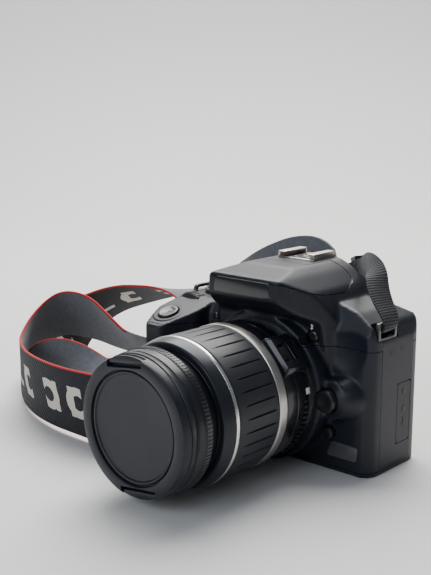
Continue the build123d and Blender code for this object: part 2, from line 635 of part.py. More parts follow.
switch_inner = mode_dial_radius + 0.4
power_switch = rod_z(switch_inner + switch_ring_width, (dial_base_z, dial_base_z + switch_ring_thickness),
                     *mode_dial_place)
power_switch -= rod_z(switch_inner, (60, 90), *mode_dial_place)
power_switch += block((mode_dial_place[0] + switch_inner + 0.4, mode_dial_place[0] + switch_inner + 3.6),
                      (mode_dial_place[1] - 1.6, mode_dial_place[1] + 1.6),
                      (dial_base_z, dial_base_z + 2.4))

iso_button = rod_z(iso_radius, (deck_z - wall - 2.0, deck_z + 0.7), *iso_place)
iso_button += rod_z(iso_radius + 0.6, (deck_z - wall - 2.8, deck_z - wall - 2.0), *iso_place)
diopter_knob = rod_y(diopter_radius, (21.5, 29.4), *diopter_place)

# ---- Lens ----------------------------------------------------------------------------
lens_barrel = tube_y(barrel_radius, guide_inner_radius, (barrel_front_y, flange_y))
lens_barrel += tube_y(guide_outer_radius, guide_inner_radius, (guide_front_y, flange_y))
lens_barrel += tube_y(throat_radius - 0.3, 24.5, (flange_y - 3, flange_y + 3.4))
lens_barrel += tube_y(guide_inner_radius + 1, 24.5, (flange_y - 3, flange_y))
lens_barrel += tube_y(25.0, 10.0, (flange_y + 1.6, flange_y + 3.4))
switch_turn = 42.0
housing = Pos(0, 0, lens_axis_z) * Rot(0, -switch_turn, 0) * block((30, 36.0), (-44.5, -29.5), (-9, 9))
lens_barrel += housing - tube_y(guide_inner_radius, 0.01, (-50, -20))
lens_barrel -= rod_y(guide_inner_radius, (-60, flange_y - 3), 0, lens_axis_z)
switch_seat = Pos(0, 0, lens_axis_z) * Rot(0, -switch_turn, 0)
lens_barrel -= switch_seat * block((33.6, 40), (-42, -34), (-5, 5))
focus_switch = switch_seat * block((33.75, 36.4), (-41.4, -38.6), (-2.6, 2.6))

zoom_rear_y = barrel_front_y - sliding_gap
zoom_ring = tube_y(band_radius, guide_outer_radius + running_fit, (zoom_rear_y - band_length, zoom_rear_y))
zoom_ring += tube_y(zoom_radius - 1.5, guide_outer_radius + running_fit, (zoom_front_y, zoom_rear_y - band_length))
collar = Solid.make_cone(zoom_radius, collar_front_radius, collar_length)
collar = Pos(0, zoom_front_y, lens_axis_z) * Rot(90, 0, 0) * collar
collar -= rod_y(inner_barrel_radius + 0.45, (-100, -60), 0, lens_axis_z)
zoom_ring += collar
zoom_grip = tube_y(zoom_radius, zoom_radius - 1.5, (zoom_front_y + 2.3, zoom_rear_y - band_length))
for k in range(36):
    turn = 10 * k
    zoom_grip -= (Pos(0, 0, lens_axis_z) * Rot(0, -turn, 0)
                  * block((zoom_radius - 0.5, zoom_radius + 1), (zoom_front_y + 6.0, zoom_rear_y - band_length - 3.0),
                          (-0.8, 0.8)))
trim_ring = tube_y(zoom_radius + 0.1, zoom_radius - 1.5, (zoom_front_y, zoom_front_y + 2.3))

inner_barrel = tube_y(inner_barrel_radius, inner_barrel_bore, (filter_front_y + 3.2, inner_barrel_rear_y))
focus_ring = tube_y(focus_radius, inner_barrel_radius + running_fit, (focus_front_y, focus_rear_y))
for k in range(72):
    turn = radians(5 * k)
    focus_ring -= rod_y(0.5, (focus_rear_y - knurl_length, focus_rear_y + 1),
                        (focus_radius + 0.15) * cos(turn), lens_axis_z + (focus_radius + 0.15) * sin(turn))
filter_ring = tube_y(filter_radius, filter_bore, (filter_front_y, focus_front_y))
focus_ring += filter_ring
front_element = rod_y(filter_bore - 2.0, (filter_front_y + 4.0, filter_front_y + 12.0), 0, lens_axis_z)
front_element -= Pos(0, filter_front_y - 30.0, lens_axis_z) * Sphere(35.0)
front_holder = tube_y(inner_barrel_bore, filter_bore - 2.0, (filter_front_y + 3.2, filter_front_y + 12.0))
inner_barrel += front_holder
rear_element = rod_y(10.0, (flange_y - 4.0, flange_y + 3.4), 0, lens_axis_z)
lens_barrel -= rear_element

# ---- Lens cap ------------------------------------------------------------------------
cap_rear_y = filter_front_y - 0.3
cap = rod_y(cap_radius, (cap_front_y, cap_rear_y), 0, lens_axis_z)
cap = chamfer(cap.edges().sort_by(Axis.Y)[0], 0.8)
cap -= rod_y(cap_disc_radius, (cap_front_y - 1, cap_front_y + cap_recess), 0, lens_axis_z)
cap -= rod_y(cap_disc_radius, (cap_front_y + cap_recess + 1.3, 0), 0, lens_axis_z)
cap += tube_y(cap_disc_radius - 0.9, cap_disc_radius - 1.8, (cap_front_y + 0.9, cap_front_y + cap_recess))
cap_spigot = tube_y(filter_bore - 0.4, cap_disc_radius, (cap_rear_y, cap_rear_y + 2.2))
cap += cap_spigot
cap_seat = Pos(0, 0, lens_axis_z) * Rot(0, -cap_turn, 0)
latches = {}
for name, sign in (("cap_latch_upper", 1), ("cap_latch_lower", -1)):
    window_z = sorted((sign * (cap_disc_radius + 0.9), sign * (cap_radius + 1)))
    window = block((-latch_width / 2, latch_width / 2), (cap_front_y - 1, cap_rear_y - 1.0), window_z)
    cap -= cap_seat * window
    latch = rod_y(cap_radius - 0.2, (cap_front_y + 1.2, cap_rear_y - 1.3), 0, 0)
    latch &= block((-latch_width / 2 + 0.35, latch_width / 2 - 0.35), (-200, 0),
                   sorted((sign * (cap_disc_radius + 0.9 + latch_travel + 0.35), sign * 60)))
    latches[name] = cap_seat * latch

# ---- Strap lugs ----------------------------------------------------------------------
def lug(face_x, centre_y, side):
    """Flat loop standing in its pocket, its foot set into the shell."""
    near_x = face_x - side * lug_depth
    x_range = sorted((near_x, near_x - side * lug_thickness))
    loop = block(x_range, (centre_y - 7.6, centre_y + 7.6), (60.5, 72.5))
    return loop - block((x_range[0] - 1, x_range[1] + 1), (centre_y - 5.9, centre_y + 5.9), (65.2, 70.8))


def lug_pocket(face_x, centre_y, side, grow):
    """Space around a lug, or with grow the block of shell that holds the space."""
    x_range = sorted((face_x - side * (5.0 + grow), face_x + side * 5))
    return block(x_range, (centre_y - 8.6 - grow, centre_y + 8.6 + grow), (64.0 - grow, 90))


lug_places = ((side_face_x, -1.5, 1), (grip_face_x, 10.0, -1))
strap_lugs = [lug(*place) for place in lug_places]
for place in lug_places:
    top_cover += (lug_pocket(*place, 1.4) & core_form(0) & top_zone) - panel_zone
    top_cover -= lug_pocket(*place, 0)
for piece in strap_lugs:
    top_cover -= piece
    panel -= piece
    rear_shell -= piece
    front_shell -= piece

# ---- Screws --------------------------------------------------------------------------
screw_radius = 1.5
screws = []
for sy, sz in ((1.0, 57.6), (10.5, 58.0)):
    screws.append(rod_x(screw_radius, (side_face_x - wall, side_face_x + 0.05), sy, sz))
for sx, sy in ((-36, 18), (36, 18), (46, -6), (-26, -6)):
    screws.append(rod_z(screw_radius, (0.1, base_plate_thickness), sx, sy))
for piece in screws:
    panel -= piece
    base_plate -= piece


# ---- Strap ---------------------------------------------------------------------------
def blend_points(route, field, span, t):
    """Point of the clamped quadratic spline through a route's control points."""
    last = len(route) - 2
    knots = [0, 0] + list(range(last + 1)) + [last, last]

    def basis(i, degree, u):
        if degree == 0:
            return 1.0 if knots[i] <= u < knots[i + 1] else 0.0
        left = knots[i + degree] - knots[i]
        right = knots[i + degree + 1] - knots[i + 1]
        value = (u - knots[i]) / left * basis(i, degree - 1, u) if left else 0.0
        return value + ((knots[i + degree + 1] - u) / right * basis(i + 1, degree - 1, u) if right else 0.0)

    u = min(span + t, last - 1e-9)
    weights = [basis(i, 2, u) for i in range(len(route))]
    parts = [Vector(*station[field]) * weight for station, weight in zip(route, weights)]
    return sum(parts[1:], parts[0])


def ribbon(route, width, thickness, steps):
    """Flat strap along a route: straight-sided spans between cross-sections."""
    spans = len(route) - 2
    centres, edges = [], []
    for span in range(spans):
        for step in range(steps):
            centres.append(blend_points(route, 0, span, step / steps))
            edges.append(blend_points(route, 1, span, step / steps))
    centres.append(blend_points(route, 0, spans, 0))
    edges.append(blend_points(route, 1, spans, 0))
    sections = []
    for k, centre in enumerate(centres):
        ahead = centres[min(k + 1, len(centres) - 1)] - centres[max(k - 1, 0)]
        ahead = ahead.normalized()
        across = (edges[k] - ahead * edges[k].dot(ahead)).normalized()
        plane = Plane(origin=centre, x_dir=across, z_dir=ahead)
        sections.append(plane * Rectangle(width, thickness))
    length = sum((b - a).length for a, b in zip(centres, centres[1:]))
    solid = loft(sections, ruled=True)
    print(f"strap {width:.0f} wide: length {length:.1f}, volume ratio "
          f"{solid.volume / (length * width * thickness):.3f}, lowest {solid.bounding_box().min.Z:.2f}")
    return solid


strap_band = ribbon(band_route, band_width, band_thickness, 3)
near_webbing = ribbon(near_webbing_route, webbing_width, webbing_thickness, 3)
far_webbing = ribbon(far_webbing_route, webbing_width, webbing_thickness, 3)


def buckle(route, index):
    """Slider around the webbing at one of its control points."""
    centre = Vector(*route[index][0])
    ahead = (Vector(*route[index + 1][0]) - Vector(*route[index - 1][0])).normalized()
    across = Vector(*route[index][1])
    across = (across - ahead * across.dot(ahead)).normalized()
    plane = Plane(origin=centre, x_dir=across, z_dir=ahead)
    frame_face = plane * (Rectangle(webbing_width + 5, 5.6) - Rectangle(webbing_width + 1.4, 3.2))
    return extrude(frame_face, 2.5, both=True)


strap_buckles = [buckle(near_webbing_route, 8), buckle(far_webbing_route, 4)]

# ---- Files ---------------------------------------------------------------------------
os.makedirs("parts", exist_ok=True)
for button_name, place in rear_buttons.items():
    write(button_name, rear_button(*place))
for button_name, place in front_buttons.items():
    write(button_name, front_button(*place))
for latch_name, latch_solid in latches.items():
    write(latch_name, latch_solid)
write("front_shell", front_shell)
write("rear_shell", rear_shell)
write("top_cover", top_cover)
write("base_plate", base_plate)
write("side_panel", panel)
write("terminal_cover", cover)
write("flash_head", flash_head)
write("hot_shoe", hot_shoe)
write("lens_mount_ring", mount_ring)
write("mirror_box", mirror_box)
write("reflex_mirror", mirror_seat * mirror)
write("sub_mirror", mirror_seat * sub_mirror)
write("finder_optics", focusing_screen, pentamirror, eyepiece_lens)
write("eyecup", eyecup)
write("shutter_frame", shutter_frame)
write("shutter_curtain", shutter_curtain)
write("image_sensor", image_sensor)
write("main_board", main_board)
write("rear_screen", rear_screen)
write("cross_key_pad", cross_key_pad)
write("set_button", set_button)
write("battery", battery)
write("chamber_frames", battery_holder, card_slot)
write("battery_door", battery_door)
write("memory_card", memory_card)
write("card_door", card_door)
write("tripod_socket", tripod_socket)
write("shutter_button", shutter_button)
write("main_dial", main_dial)
write("mode_dial", mode_dial)
write("power_switch", power_switch)
write("iso_button", iso_button)
write("diopter_knob", diopter_knob)
write("lens_barrel", lens_barrel)
write("focus_switch", focus_switch)
write("zoom_ring", zoom_ring)
write("zoom_grip", zoom_grip)
write("zoom_trim_ring", trim_ring)
write("inner_barrel", inner_barrel)
write("focus_ring", focus_ring)
write("front_element", front_element)
write("rear_element", rear_element)
write("lens_cap", cap)
write("strap_lugs", *strap_lugs)
write("screws", *screws)
write("strap_band", strap_band)
write("strap_webbing", near_webbing, far_webbing)
write("strap_buckles", *strap_buckles)
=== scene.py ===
"""A single-lens reflex camera with its zoom lens, lens cap and neck strap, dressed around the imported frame."""

import logging
import math
from collections.abc import Callable, Sequence
from dataclasses import dataclass
from enum import Enum

import bmesh
import bpy
from mathutils import Matrix, Vector


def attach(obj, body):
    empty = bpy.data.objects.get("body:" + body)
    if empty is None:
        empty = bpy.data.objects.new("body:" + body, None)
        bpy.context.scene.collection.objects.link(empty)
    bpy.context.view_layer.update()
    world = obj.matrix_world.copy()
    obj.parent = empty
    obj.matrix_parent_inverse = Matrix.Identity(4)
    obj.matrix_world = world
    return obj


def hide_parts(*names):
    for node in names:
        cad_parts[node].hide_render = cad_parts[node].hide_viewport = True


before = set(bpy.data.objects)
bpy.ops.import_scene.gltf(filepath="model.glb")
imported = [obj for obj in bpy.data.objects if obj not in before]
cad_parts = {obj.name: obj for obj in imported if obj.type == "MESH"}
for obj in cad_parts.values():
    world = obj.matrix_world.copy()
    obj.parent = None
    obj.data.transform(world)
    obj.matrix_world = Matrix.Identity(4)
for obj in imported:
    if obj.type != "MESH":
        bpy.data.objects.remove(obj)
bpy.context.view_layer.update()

LOG = logging.getLogger("camera")
MM = 0.001
LENS_AXIS_Z = 36.3
SMOOTH_ANGLE = math.radians(38)
Point = tuple[float, float, float]
Flat = tuple[float, float]


# ---- Shader graphs -------------------------------------------------------------------
class Value:
    """A shader number, whose operators add Math nodes."""

    def __init__(self, graph: "Graph", socket: bpy.types.NodeSocket) -> None:
        """Wraps a socket of a graph."""
        self.graph = graph
        self.socket = socket

    def _math(self, operation: str, *terms: "Value | float | Value") -> "Value":
        """Adds one Math node.

        Args:
            operation: the Math node's operation.
            terms: its inputs, in order.

        Returns:
            The node's result.
        """
        inputs = {i: t.socket if isinstance(t, Value) else t for i, t in enumerate(terms)}
        return self.graph.value("ShaderNodeMath", {"operation": operation}, inputs)

    def __add__(self, other: "Value | float") -> "Value":
        """Sum."""
        return self._math("ADD", self, other)

    __radd__ = __add__

    def __sub__(self, other: "Value | float") -> "Value":
        """Difference."""
        return self._math("SUBTRACT", self, other)

    def __rsub__(self, other: float) -> "Value":
        """Difference, reflected."""
        return self._math("SUBTRACT", other, self)

    def __mul__(self, other: "Value | float") -> "Value":
        """Product."""
        return self._math("MULTIPLY", self, other)

    __rmul__ = __mul__

    def __truediv__(self, other: "Value | float") -> "Value":
        """Quotient."""
        return self._math("DIVIDE", self, other)

    def __gt__(self, other: "Value | float") -> "Value":
        """One where greater, else nought."""
        return self._math("GREATER_THAN", self, other)

    def __lt__(self, other: "Value | float") -> "Value":
        """One where less, else nought."""
        return self._math("LESS_THAN", self, other)

    def __abs__(self) -> "Value":
        """Absolute value."""
        return self._math("ABSOLUTE", self)

    def __mod__(self, other: float) -> "Value":
        """Remainder, kept positive."""
        return self._math("FLOORED_MODULO", self, other)

    def power(self, exponent: float) -> "Value":
        """Power."""
        return self._math("POWER", self, exponent)

    def sine(self) -> "Value":
        """Sine."""
        return self._math("SINE", self)

    def most(self, other: "Value | float") -> "Value":
        """Larger of two."""
        return self._math("MAXIMUM", self, other)

    def step(self, low: float, high: float) -> "Value":
        """Smooth rise from nought at low to one at high."""
        settings = {"interpolation_type": "SMOOTHSTEP"}
        return self.graph.value("ShaderNodeMapRange", settings, {"Value": self.socket, 1: low, 2: high})


Link = bpy.types.NodeSocket | float | Sequence[float]


class Graph:
    """One material's node tree, with its shader ready to feed."""

    def __init__(self, name: str) -> None:
        """Starts a material.

        Args:
            name: the material's name.
        """
        self.material = bpy.data.materials.new(name)
        self.material.use_nodes = True
        self.tree = self.material.node_tree
        self.tree.nodes.clear()
        self.shader = self.tree.nodes.new("ShaderNodeBsdfPrincipled")
        output = self.tree.nodes.new("ShaderNodeOutputMaterial")
        self.tree.links.new(self.shader.outputs[0], output.inputs[0])

    def node(self, kind: str, settings: dict | None = None, inputs: dict | None = None) -> bpy.types.Node:
        """Adds a node.

        Args:
            kind: the node's type.
            settings: its own properties, and "stops" for a colour ramp.
            inputs: values or sockets by input name or number.

        Returns:
            The node.
        """
        made = self.tree.nodes.new(kind)
        for key, val in (settings or {}).items():
            if key == "stops":
                ramp = made.color_ramp.elements
                while len(ramp) < len(val):
                    ramp.new(0.5)
                for stop, (place, colour) in zip(ramp, val):
                    stop.position = place
                    stop.color = (*colour, 1.0)
            else:
                setattr(made, key, val)
        for key, val in (inputs or {}).items():
            self.feed(made.inputs[key], val)
        return made

    def feed(self, socket: bpy.types.NodeSocket, val: "Value | Link") -> None:
        """Links a socket, or sets its value."""
        source = val.socket if isinstance(val, Value) else val
        if isinstance(source, bpy.types.NodeSocket):
            self.tree.links.new(source, socket)
        elif socket.type == "RGBA" and len(source) == 3:
            socket.default_value = (*source, 1.0)
        else:
            socket.default_value = source

    def value(self, kind: str, settings: dict | None = None, inputs: dict | None = None,
              output: int | str = 0) -> Value:
        """Adds a node and returns one of its outputs as a value."""
        return Value(self, self.node(kind, settings, inputs).outputs[output])

    def place(self) -> bpy.types.NodeSocket:
        """Object coordinates, in metres."""
        return self.node("ShaderNodeTexCoord").outputs["Object"]

    def axes(self, source: bpy.types.NodeSocket | None = None) -> tuple[Value, Value, Value]:
        """The three parts of a vector, of Object coordinates if none is given."""
        split = self.node("ShaderNodeSeparateXYZ", None, {0: source or self.place()})
        return tuple(Value(self, out) for out in split.outputs)

    def noise(self, scale: float, detail: float = 2.0, rough: float = 0.5,
              source: bpy.types.NodeSocket | None = None) -> Value:
        """Soft noise with scale features to the metre."""
        inputs = {"Vector": source or self.place(), "Scale": scale, "Detail": detail, "Roughness": rough}
        return self.value("ShaderNodeTexNoise", {"noise_dimensions": "3D"}, inputs)

    def mix(self, factor: "Value | float", low: Sequence[float] | bpy.types.NodeSocket,
            high: Sequence[float] | bpy.types.NodeSocket) -> bpy.types.NodeSocket:
        """Blends two colours."""
        made = self.node("ShaderNodeMix", {"data_type": "RGBA"})
        self.feed(made.inputs[0], factor)
        self.feed(made.inputs[6], low)
        self.feed(made.inputs[7], high)
        return made.outputs[2]

    def bump(self, height: Value, distance: float, strength: float = 1.0,
             under: bpy.types.NodeSocket | None = None) -> bpy.types.NodeSocket:
        """Turns a height into a normal; distance in metres."""
        inputs = {"Height": height, "Distance": distance, "Strength": strength}
        if under is not None:
            inputs["Normal"] = under
        return self.node("ShaderNodeBump", None, inputs).outputs[0]

    def dress(self, **sockets: "Value | Link") -> bpy.types.Material:
        """Feeds the shader's sockets, named with underscores, and returns the material."""
        for key, val in sockets.items():
            name = " ".join(part if part == "IOR" else part.capitalize() for part in key.split("_"))
            self.feed(self.shader.inputs[name], val)
        return self.material


# ---- Finishes ------------------------------------------------------------------------
@dataclass(frozen=True)
class Moulded:
    """Moulded plastic or painted metal, with a spark-eroded grain, and sharp edges brightened as light wear and painted
    highlight.
    """

    name: str
    colour: Point
    roughness: float = 0.5
    grain: float = 2600.0
    depth: float = 0.00003
    drift: float = 0.25
    # Strength of the brightened sharp edges: partly light wear, partly painted highlight on the rims.
    edge_wear_and_highlight: float = 0.0
    metal: float = 0.0
    coat: float = 0.0

    def material(self) -> bpy.types.Material:
        """Builds the node tree."""
        g = Graph(self.name)
        fine = g.noise(self.grain, 2.0, 0.6)
        broad = g.noise(60.0, 3.0, 0.6)
        smear = g.noise(17.0, 2.0, 0.5)
        light = tuple(c * (1 + self.drift) + 0.002 for c in self.colour)
        dark = tuple(c * (1 - self.drift) for c in self.colour)
        tone = g.mix(broad.step(0.35, 0.65), dark, light)
        # Sharp edges found by pointiness are brightened: partly light wear, partly a painted highlight along the rims.
        if self.edge_wear_and_highlight > 0:
            geometry = g.node("ShaderNodeNewGeometry")
            edge = Value(g, geometry.outputs["Pointiness"]).step(0.53, 0.62)
            worn_and_lit_edge = edge * broad.step(0.4, 0.6) * self.edge_wear_and_highlight
            tone = g.mix(worn_and_lit_edge, tone, tuple(min(1.0, c * 3.5 + 0.05) for c in self.colour))
        rough = (smear - 0.5) * 0.1 + (fine - 0.5) * 0.18 + self.roughness
        return g.dress(Base_Color=tone, Roughness=rough, Metallic=self.metal, Coat_Weight=self.coat,
                       Specular_IOR_Level=0.36,
                       Normal=g.bump(fine, self.depth))


@dataclass(frozen=True)
class Turned:
    """Metal turned on a lathe about the lens axis, with fine rings."""

    name: str
    colour: Point
    roughness: float = 0.3
    rings: float = 9000.0

    def material(self) -> bpy.types.Material:
        """Builds the node tree."""
        g = Graph(self.name)
        x, y, z = g.axes()
        rise = z - LENS_AXIS_Z * MM
        reach = (x * x + rise * rise).power(0.5)
        rings = ((reach + y) * self.rings).sine()
        cloud = g.noise(90.0, 4.0, 0.6)
        tone = g.mix(cloud.step(0.3, 0.7), tuple(c * 0.86 for c in self.colour), self.colour)
        rough = cloud * 0.14 + rings * 0.03 + self.roughness - 0.05
        return g.dress(Base_Color=tone, Metallic=1.0, Roughness=rough, Normal=g.bump(rings, 0.000004))


@dataclass(frozen=True)
class Rubber:
    """Ribbed rubber with a dry bloom of dust."""

    name: str
    colour: Point
    dust: float = 0.25

    def material(self) -> bpy.types.Material:
        """Builds the node tree."""
        g = Graph(self.name)
        fine = g.noise(3800.0, 2.0, 0.6)
        bloom = g.noise(140.0, 5.0, 0.7).step(0.45, 0.8) * self.dust
        tone = g.mix(bloom, self.colour, tuple(c * 2.2 + 0.02 for c in self.colour))
        return g.dress(Base_Color=tone, Roughness=fine * 0.14 + bloom * 0.2 + 0.38, Specular_IOR_Level=0.5,
                       Normal=g.bump(fine, 0.00004))


@dataclass(frozen=True)
class Clear:
    """Coated glass."""

    name: str
    colour: Point
    tint: Point
    roughness: float = 0.03

    def material(self) -> bpy.types.Material:
        """Builds the node tree."""
        g = Graph(self.name)
        facing = g.value("ShaderNodeLayerWeight", None, {"Blend": 0.35}, "Facing")
        smudge = g.noise(75.0, 3.0, 0.6).step(0.45, 0.75)
        return g.dress(Base_Color=g.mix(facing, self.colour, self.tint), Coat_Weight=0.6, Coat_Roughness=0.02,
                       Roughness=smudge * 0.08 + self.roughness, Specular_IOR_Level=0.8)


class WeaveSide(Enum):
    """The two sides of the neck band."""

    PATTERNED = "band_weave"
    BACKING = "band_suede"


@dataclass(frozen=True)
class BandCloth:
    """Cloth of the neck band: twill with an embroidered motif, or brushed suede."""

    side: WeaveSide
    width: float

    def material(self) -> bpy.types.Material:
        """Builds the node tree; the UV map is in millimetres across and along."""
        g = Graph(self.side.value)
        uv = g.node("ShaderNodeUVMap", {"uv_map": "cloth"}).outputs[0]
        across, along, _ = g.axes(uv)
        fuzz = g.noise(5200.0, 2.0, 0.7)
        if self.side is WeaveSide.BACKING:
            nap = g.noise(420.0, 5.0, 0.75)
            tone = g.mix(nap.step(0.3, 0.7), (0.125, 0.133, 0.148), (0.17, 0.178, 0.195))
            return g.dress(Base_Color=tone, Roughness=0.92, Sheen_Weight=0.35, Sheen_Roughness=0.45,
                           Specular_IOR_Level=0.2, Normal=g.bump(nap * 0.7 + fuzz * 0.5, 0.00016))
        twill = ((across * 3.6 + along * 3.6).sine() + (across * 7.2 - along * 2.4).sine() * 0.5) * 0.33 + 0.5
        ribs = (along * 6.2).sine() * 0.5 + 0.5
        motif = self._motif(g, across, along)
        black = g.mix(twill, (0.006, 0.007, 0.009), (0.026, 0.028, 0.034))
        cream = g.mix(ribs, (0.42, 0.39, 0.34), (0.72, 0.68, 0.6))
        border = (abs(across - self.width / 2) > self.width / 2 - 3.4) * 1.0
        tone = g.mix(motif, black, cream)
        height = twill * (1 - motif) + (ribs * 0.5 + 0.9) * motif + border * 0.3
        return g.dress(Base_Color=tone, Roughness=fuzz * 0.1 + 0.78, Sheen_Weight=0.15, Sheen_Roughness=0.4,
                       Specular_IOR_Level=0.25, Normal=g.bump(height, 0.00022))

    def _motif(self, g: Graph, across: Value, along: Value) -> Value:
        """Plain arches, stems and a bar, a hundred millimetres to the repeat."""
        middle = across - self.width / 2
        wavering = g.noise(900.0, 2.0, 0.6) * 0.5
        shape: Value | None = None
        for centre, opening in ((26.0, -3.0), (50.0, 4.0), (74.0, -3.0)):
            offset = (along % 104.0) - centre
            reach = (offset * offset + middle * middle).power(0.5) + wavering
            arch = (abs(reach - 6.8) < 2.3) * ((offset * math.copysign(1.0, opening)) < abs(opening))
            stem = (abs(offset + opening * 1.6) < 1.9) * (abs(middle) < 8.6)
            shape = arch.most(stem) if shape is None else shape.most(arch).most(stem)
        bar = (abs(middle + 6.0) < 1.6) * (abs((along % 104.0) - 96.0) < 7.0)
        return shape.most(bar)


@dataclass(frozen=True)
class Webbing:
    """Ribbed nylon webbing or piping cord; the UV map is in millimetres."""

    name: str
    dark: Point
    light: Point
    pitch: float = 1.25
    depth: float = 0.00025

    def material(self) -> bpy.types.Material:
        """Builds the node tree."""
        g = Graph(self.name)
        across, along, _ = g.axes(g.node("ShaderNodeUVMap", {"uv_map": "cloth"}).outputs[0])
        rib = (along * (2 * math.pi / self.pitch) + (across * 3.2).sine() * 0.7).sine() * 0.5 + 0.5
        warp = (across * 6.0).sine() * 0.5 + 0.5
        fuzz = g.noise(4000.0, 3.0, 0.7)
        weave = rib * 0.75 + warp * rib * 0.25 + fuzz * 0.15
        return g.dress(Base_Color=g.mix(weave, self.dark, self.light), Roughness=0.7, Sheen_Weight=0.2,
                       Sheen_Roughness=0.4, Specular_IOR_Level=0.3, Normal=g.bump(weave, self.depth))


@dataclass(frozen=True)
class Paint:
    """Printed ink of an icon or a mark."""

    name: str
    colour: Point

    def material(self) -> bpy.types.Material:
        """Builds the node tree."""
        g = Graph(self.name)
        speck = g.noise(2400.0, 2.0, 0.6)
        tone = g.mix(speck.step(0.3, 0.6), tuple(c * 0.8 for c in self.colour), self.colour)
        return g.dress(Base_Color=tone, Roughness=speck * 0.2 + 0.4)


@dataclass(frozen=True)
class Card:
    """Pale seamless paper under and behind the camera."""

    name: str = "pale_card"

    def material(self) -> bpy.types.Material:
        """Builds the node tree."""
        g = Graph(self.name)
        cloud = g.noise(3.0, 3.0, 0.5)
        tooth = g.noise(900.0, 2.0, 0.5)
        tone = g.mix(cloud, (0.70, 0.685, 0.68), (0.74, 0.73, 0.725))
        return g.dress(Base_Color=tone, Roughness=tooth * 0.1 + 0.6, Specular_IOR_Level=0.3,
                       Normal=g.bump(tooth, 0.00005))


class Shelf:
    """Materials made once and shared."""

    def __init__(self) -> None:
        """Starts empty."""
        self._made: dict[str, bpy.types.Material] = {}

    def take(self, finish: object) -> bpy.types.Material:
        """Returns a finish's material, made at the first call."""
        key = getattr(finish, "name", None) or finish.side.value
        if key not in self._made:
            self._made[key] = finish.material()
        return self._made[key]


SHELF = Shelf()
# The seventh number of each Moulded finish brightens its sharp edges: partly light wear, partly painted highlight.
BODY = Moulded("body_plastic", (0.0075, 0.0098, 0.0165), 0.42, 2600.0, 0.00003, 0.06, 0.25)
BODY_SMOOTH = Moulded("name_plate_gloss", (0.010, 0.011, 0.014), 0.2, 3000.0, 0.000006, 0.1, 0.15, 0.0, 0.5)
PANEL = Moulded("side_panel_plastic", (0.008, 0.0102, 0.0168), 0.47, 2200.0, 0.00005, 0.06, 0.2)
BUTTON = Moulded("button_plastic", (0.010, 0.011, 0.013), 0.3, 3500.0, 0.000012, 0.1, 0.2, 0.0, 0.3)
DIAL = Moulded("dial_plastic", (0.014, 0.015, 0.017), 0.36, 3500.0, 0.00002, 0.1, 0.5)
DARK = Moulded("inner_black", (0.006, 0.006, 0.007), 0.7, 2500.0, 0.00002)
LENS_SATIN = Moulded("lens_satin_black", (0.0075, 0.009, 0.0135), 0.32, 3600.0, 0.000015, 0.1, 0.3)
LENS_GLOSS = Moulded("lens_gloss_black", (0.006, 0.0072, 0.011), 0.22, 3600.0, 0.000008, 0.1, 0.2, 0.0, 0.3)
CAP_MATT = Moulded("cap_matt_black", (0.0078, 0.0098, 0.0158), 0.4, 2800.0, 0.000025, 0.06, 0.3)
CAP_RIM = Moulded("cap_rim_black", (0.006, 0.0075, 0.012), 0.3, 3600.0, 0.00001, 0.1, 0.3)
KNURL = Moulded("knurl_grey", (0.03, 0.032, 0.036), 0.28, 3600.0, 0.000008, 0.06, 0.4, 0.5)
COLLAR = Moulded("collar_grey", (0.018, 0.0205, 0.027), 0.32, 3600.0, 0.000012, 0.06, 0.2, 0.3)
GRIP_RUBBER = Rubber("zoom_rubber", (0.009, 0.0112, 0.0165), 0.14)
SOFT_RUBBER = Rubber("eyecup_rubber", (0.012, 0.012, 0.013), 0.2)
TRIM = Turned("bright_trim", (0.80, 0.79, 0.77), 0.2)
BAND_METAL = Turned("champagne_band", (0.56, 0.54, 0.51), 0.3)
MOUNT_METAL = Turned("mount_steel", (0.62, 0.62, 0.61), 0.28)
SHOE = Moulded("shoe_steel", (0.66, 0.60, 0.50), 0.34, 1500.0, 0.00002, 0.1, 0.3, 1.0)
LUG = Moulded("lug_steel", (0.09, 0.09, 0.09), 0.28, 1500.0, 0.00001, 0.1, 0.6, 0.8)
SCREW = Moulded("screw_black", (0.004, 0.004, 0.005), 0.45, 2500.0, 0.00001, 0.1, 0.2, 0.3)
GLASS = Clear("coated_glass", (0.012, 0.014, 0.03), (0.09, 0.05, 0.16))
SCREEN = Clear("screen_glass", (0.004, 0.005, 0.006), (0.02, 0.022, 0.026))
LAMP = Moulded("flash_window", (0.62, 0.62, 0.60), 0.2, 700.0, 0.0001, 0.05, 0.0, 0.0, 0.5)
MIRROR = Moulded("mirror_silver", (0.86, 0.87, 0.88), 0.1, 500.0, 0.000001, 0.02, 0.0, 1.0)
SCREEN_ON = Clear("screen_dark_panel", (0.012, 0.015, 0.019), (0.03, 0.035, 0.045), 0.12)
SENSOR = Clear("sensor_filter", (0.02, 0.06, 0.05), (0.10, 0.07, 0.14))
BOARD = Moulded("circuit_board", (0.012, 0.075, 0.03), 0.4, 900.0, 0.00004)
CELL = Moulded("battery_plastic", (0.06, 0.06, 0.062), 0.4)
CARD_PLASTIC = Moulded("card_plastic", (0.03, 0.04, 0.12), 0.4)
SHUTTER = Moulded("shutter_metal", (0.05, 0.05, 0.052), 0.38, 900.0, 0.00001, 0.1, 0.4, 0.8)
WHITE_INK = Paint("white_ink", (0.75, 0.75, 0.73))
BADGE = Moulded("badge_grey", (0.10, 0.102, 0.11), 0.32, 1800.0, 0.00001, 0.08, 0.2, 0.4)
RED_CORD = Webbing("red_piping", (0.25, 0.006, 0.006), (0.62, 0.025, 0.02), 0.9, 0.0001)
BLACK_WEBBING = Webbing("black_webbing", (0.004, 0.004, 0.005), (0.05, 0.052, 0.058))


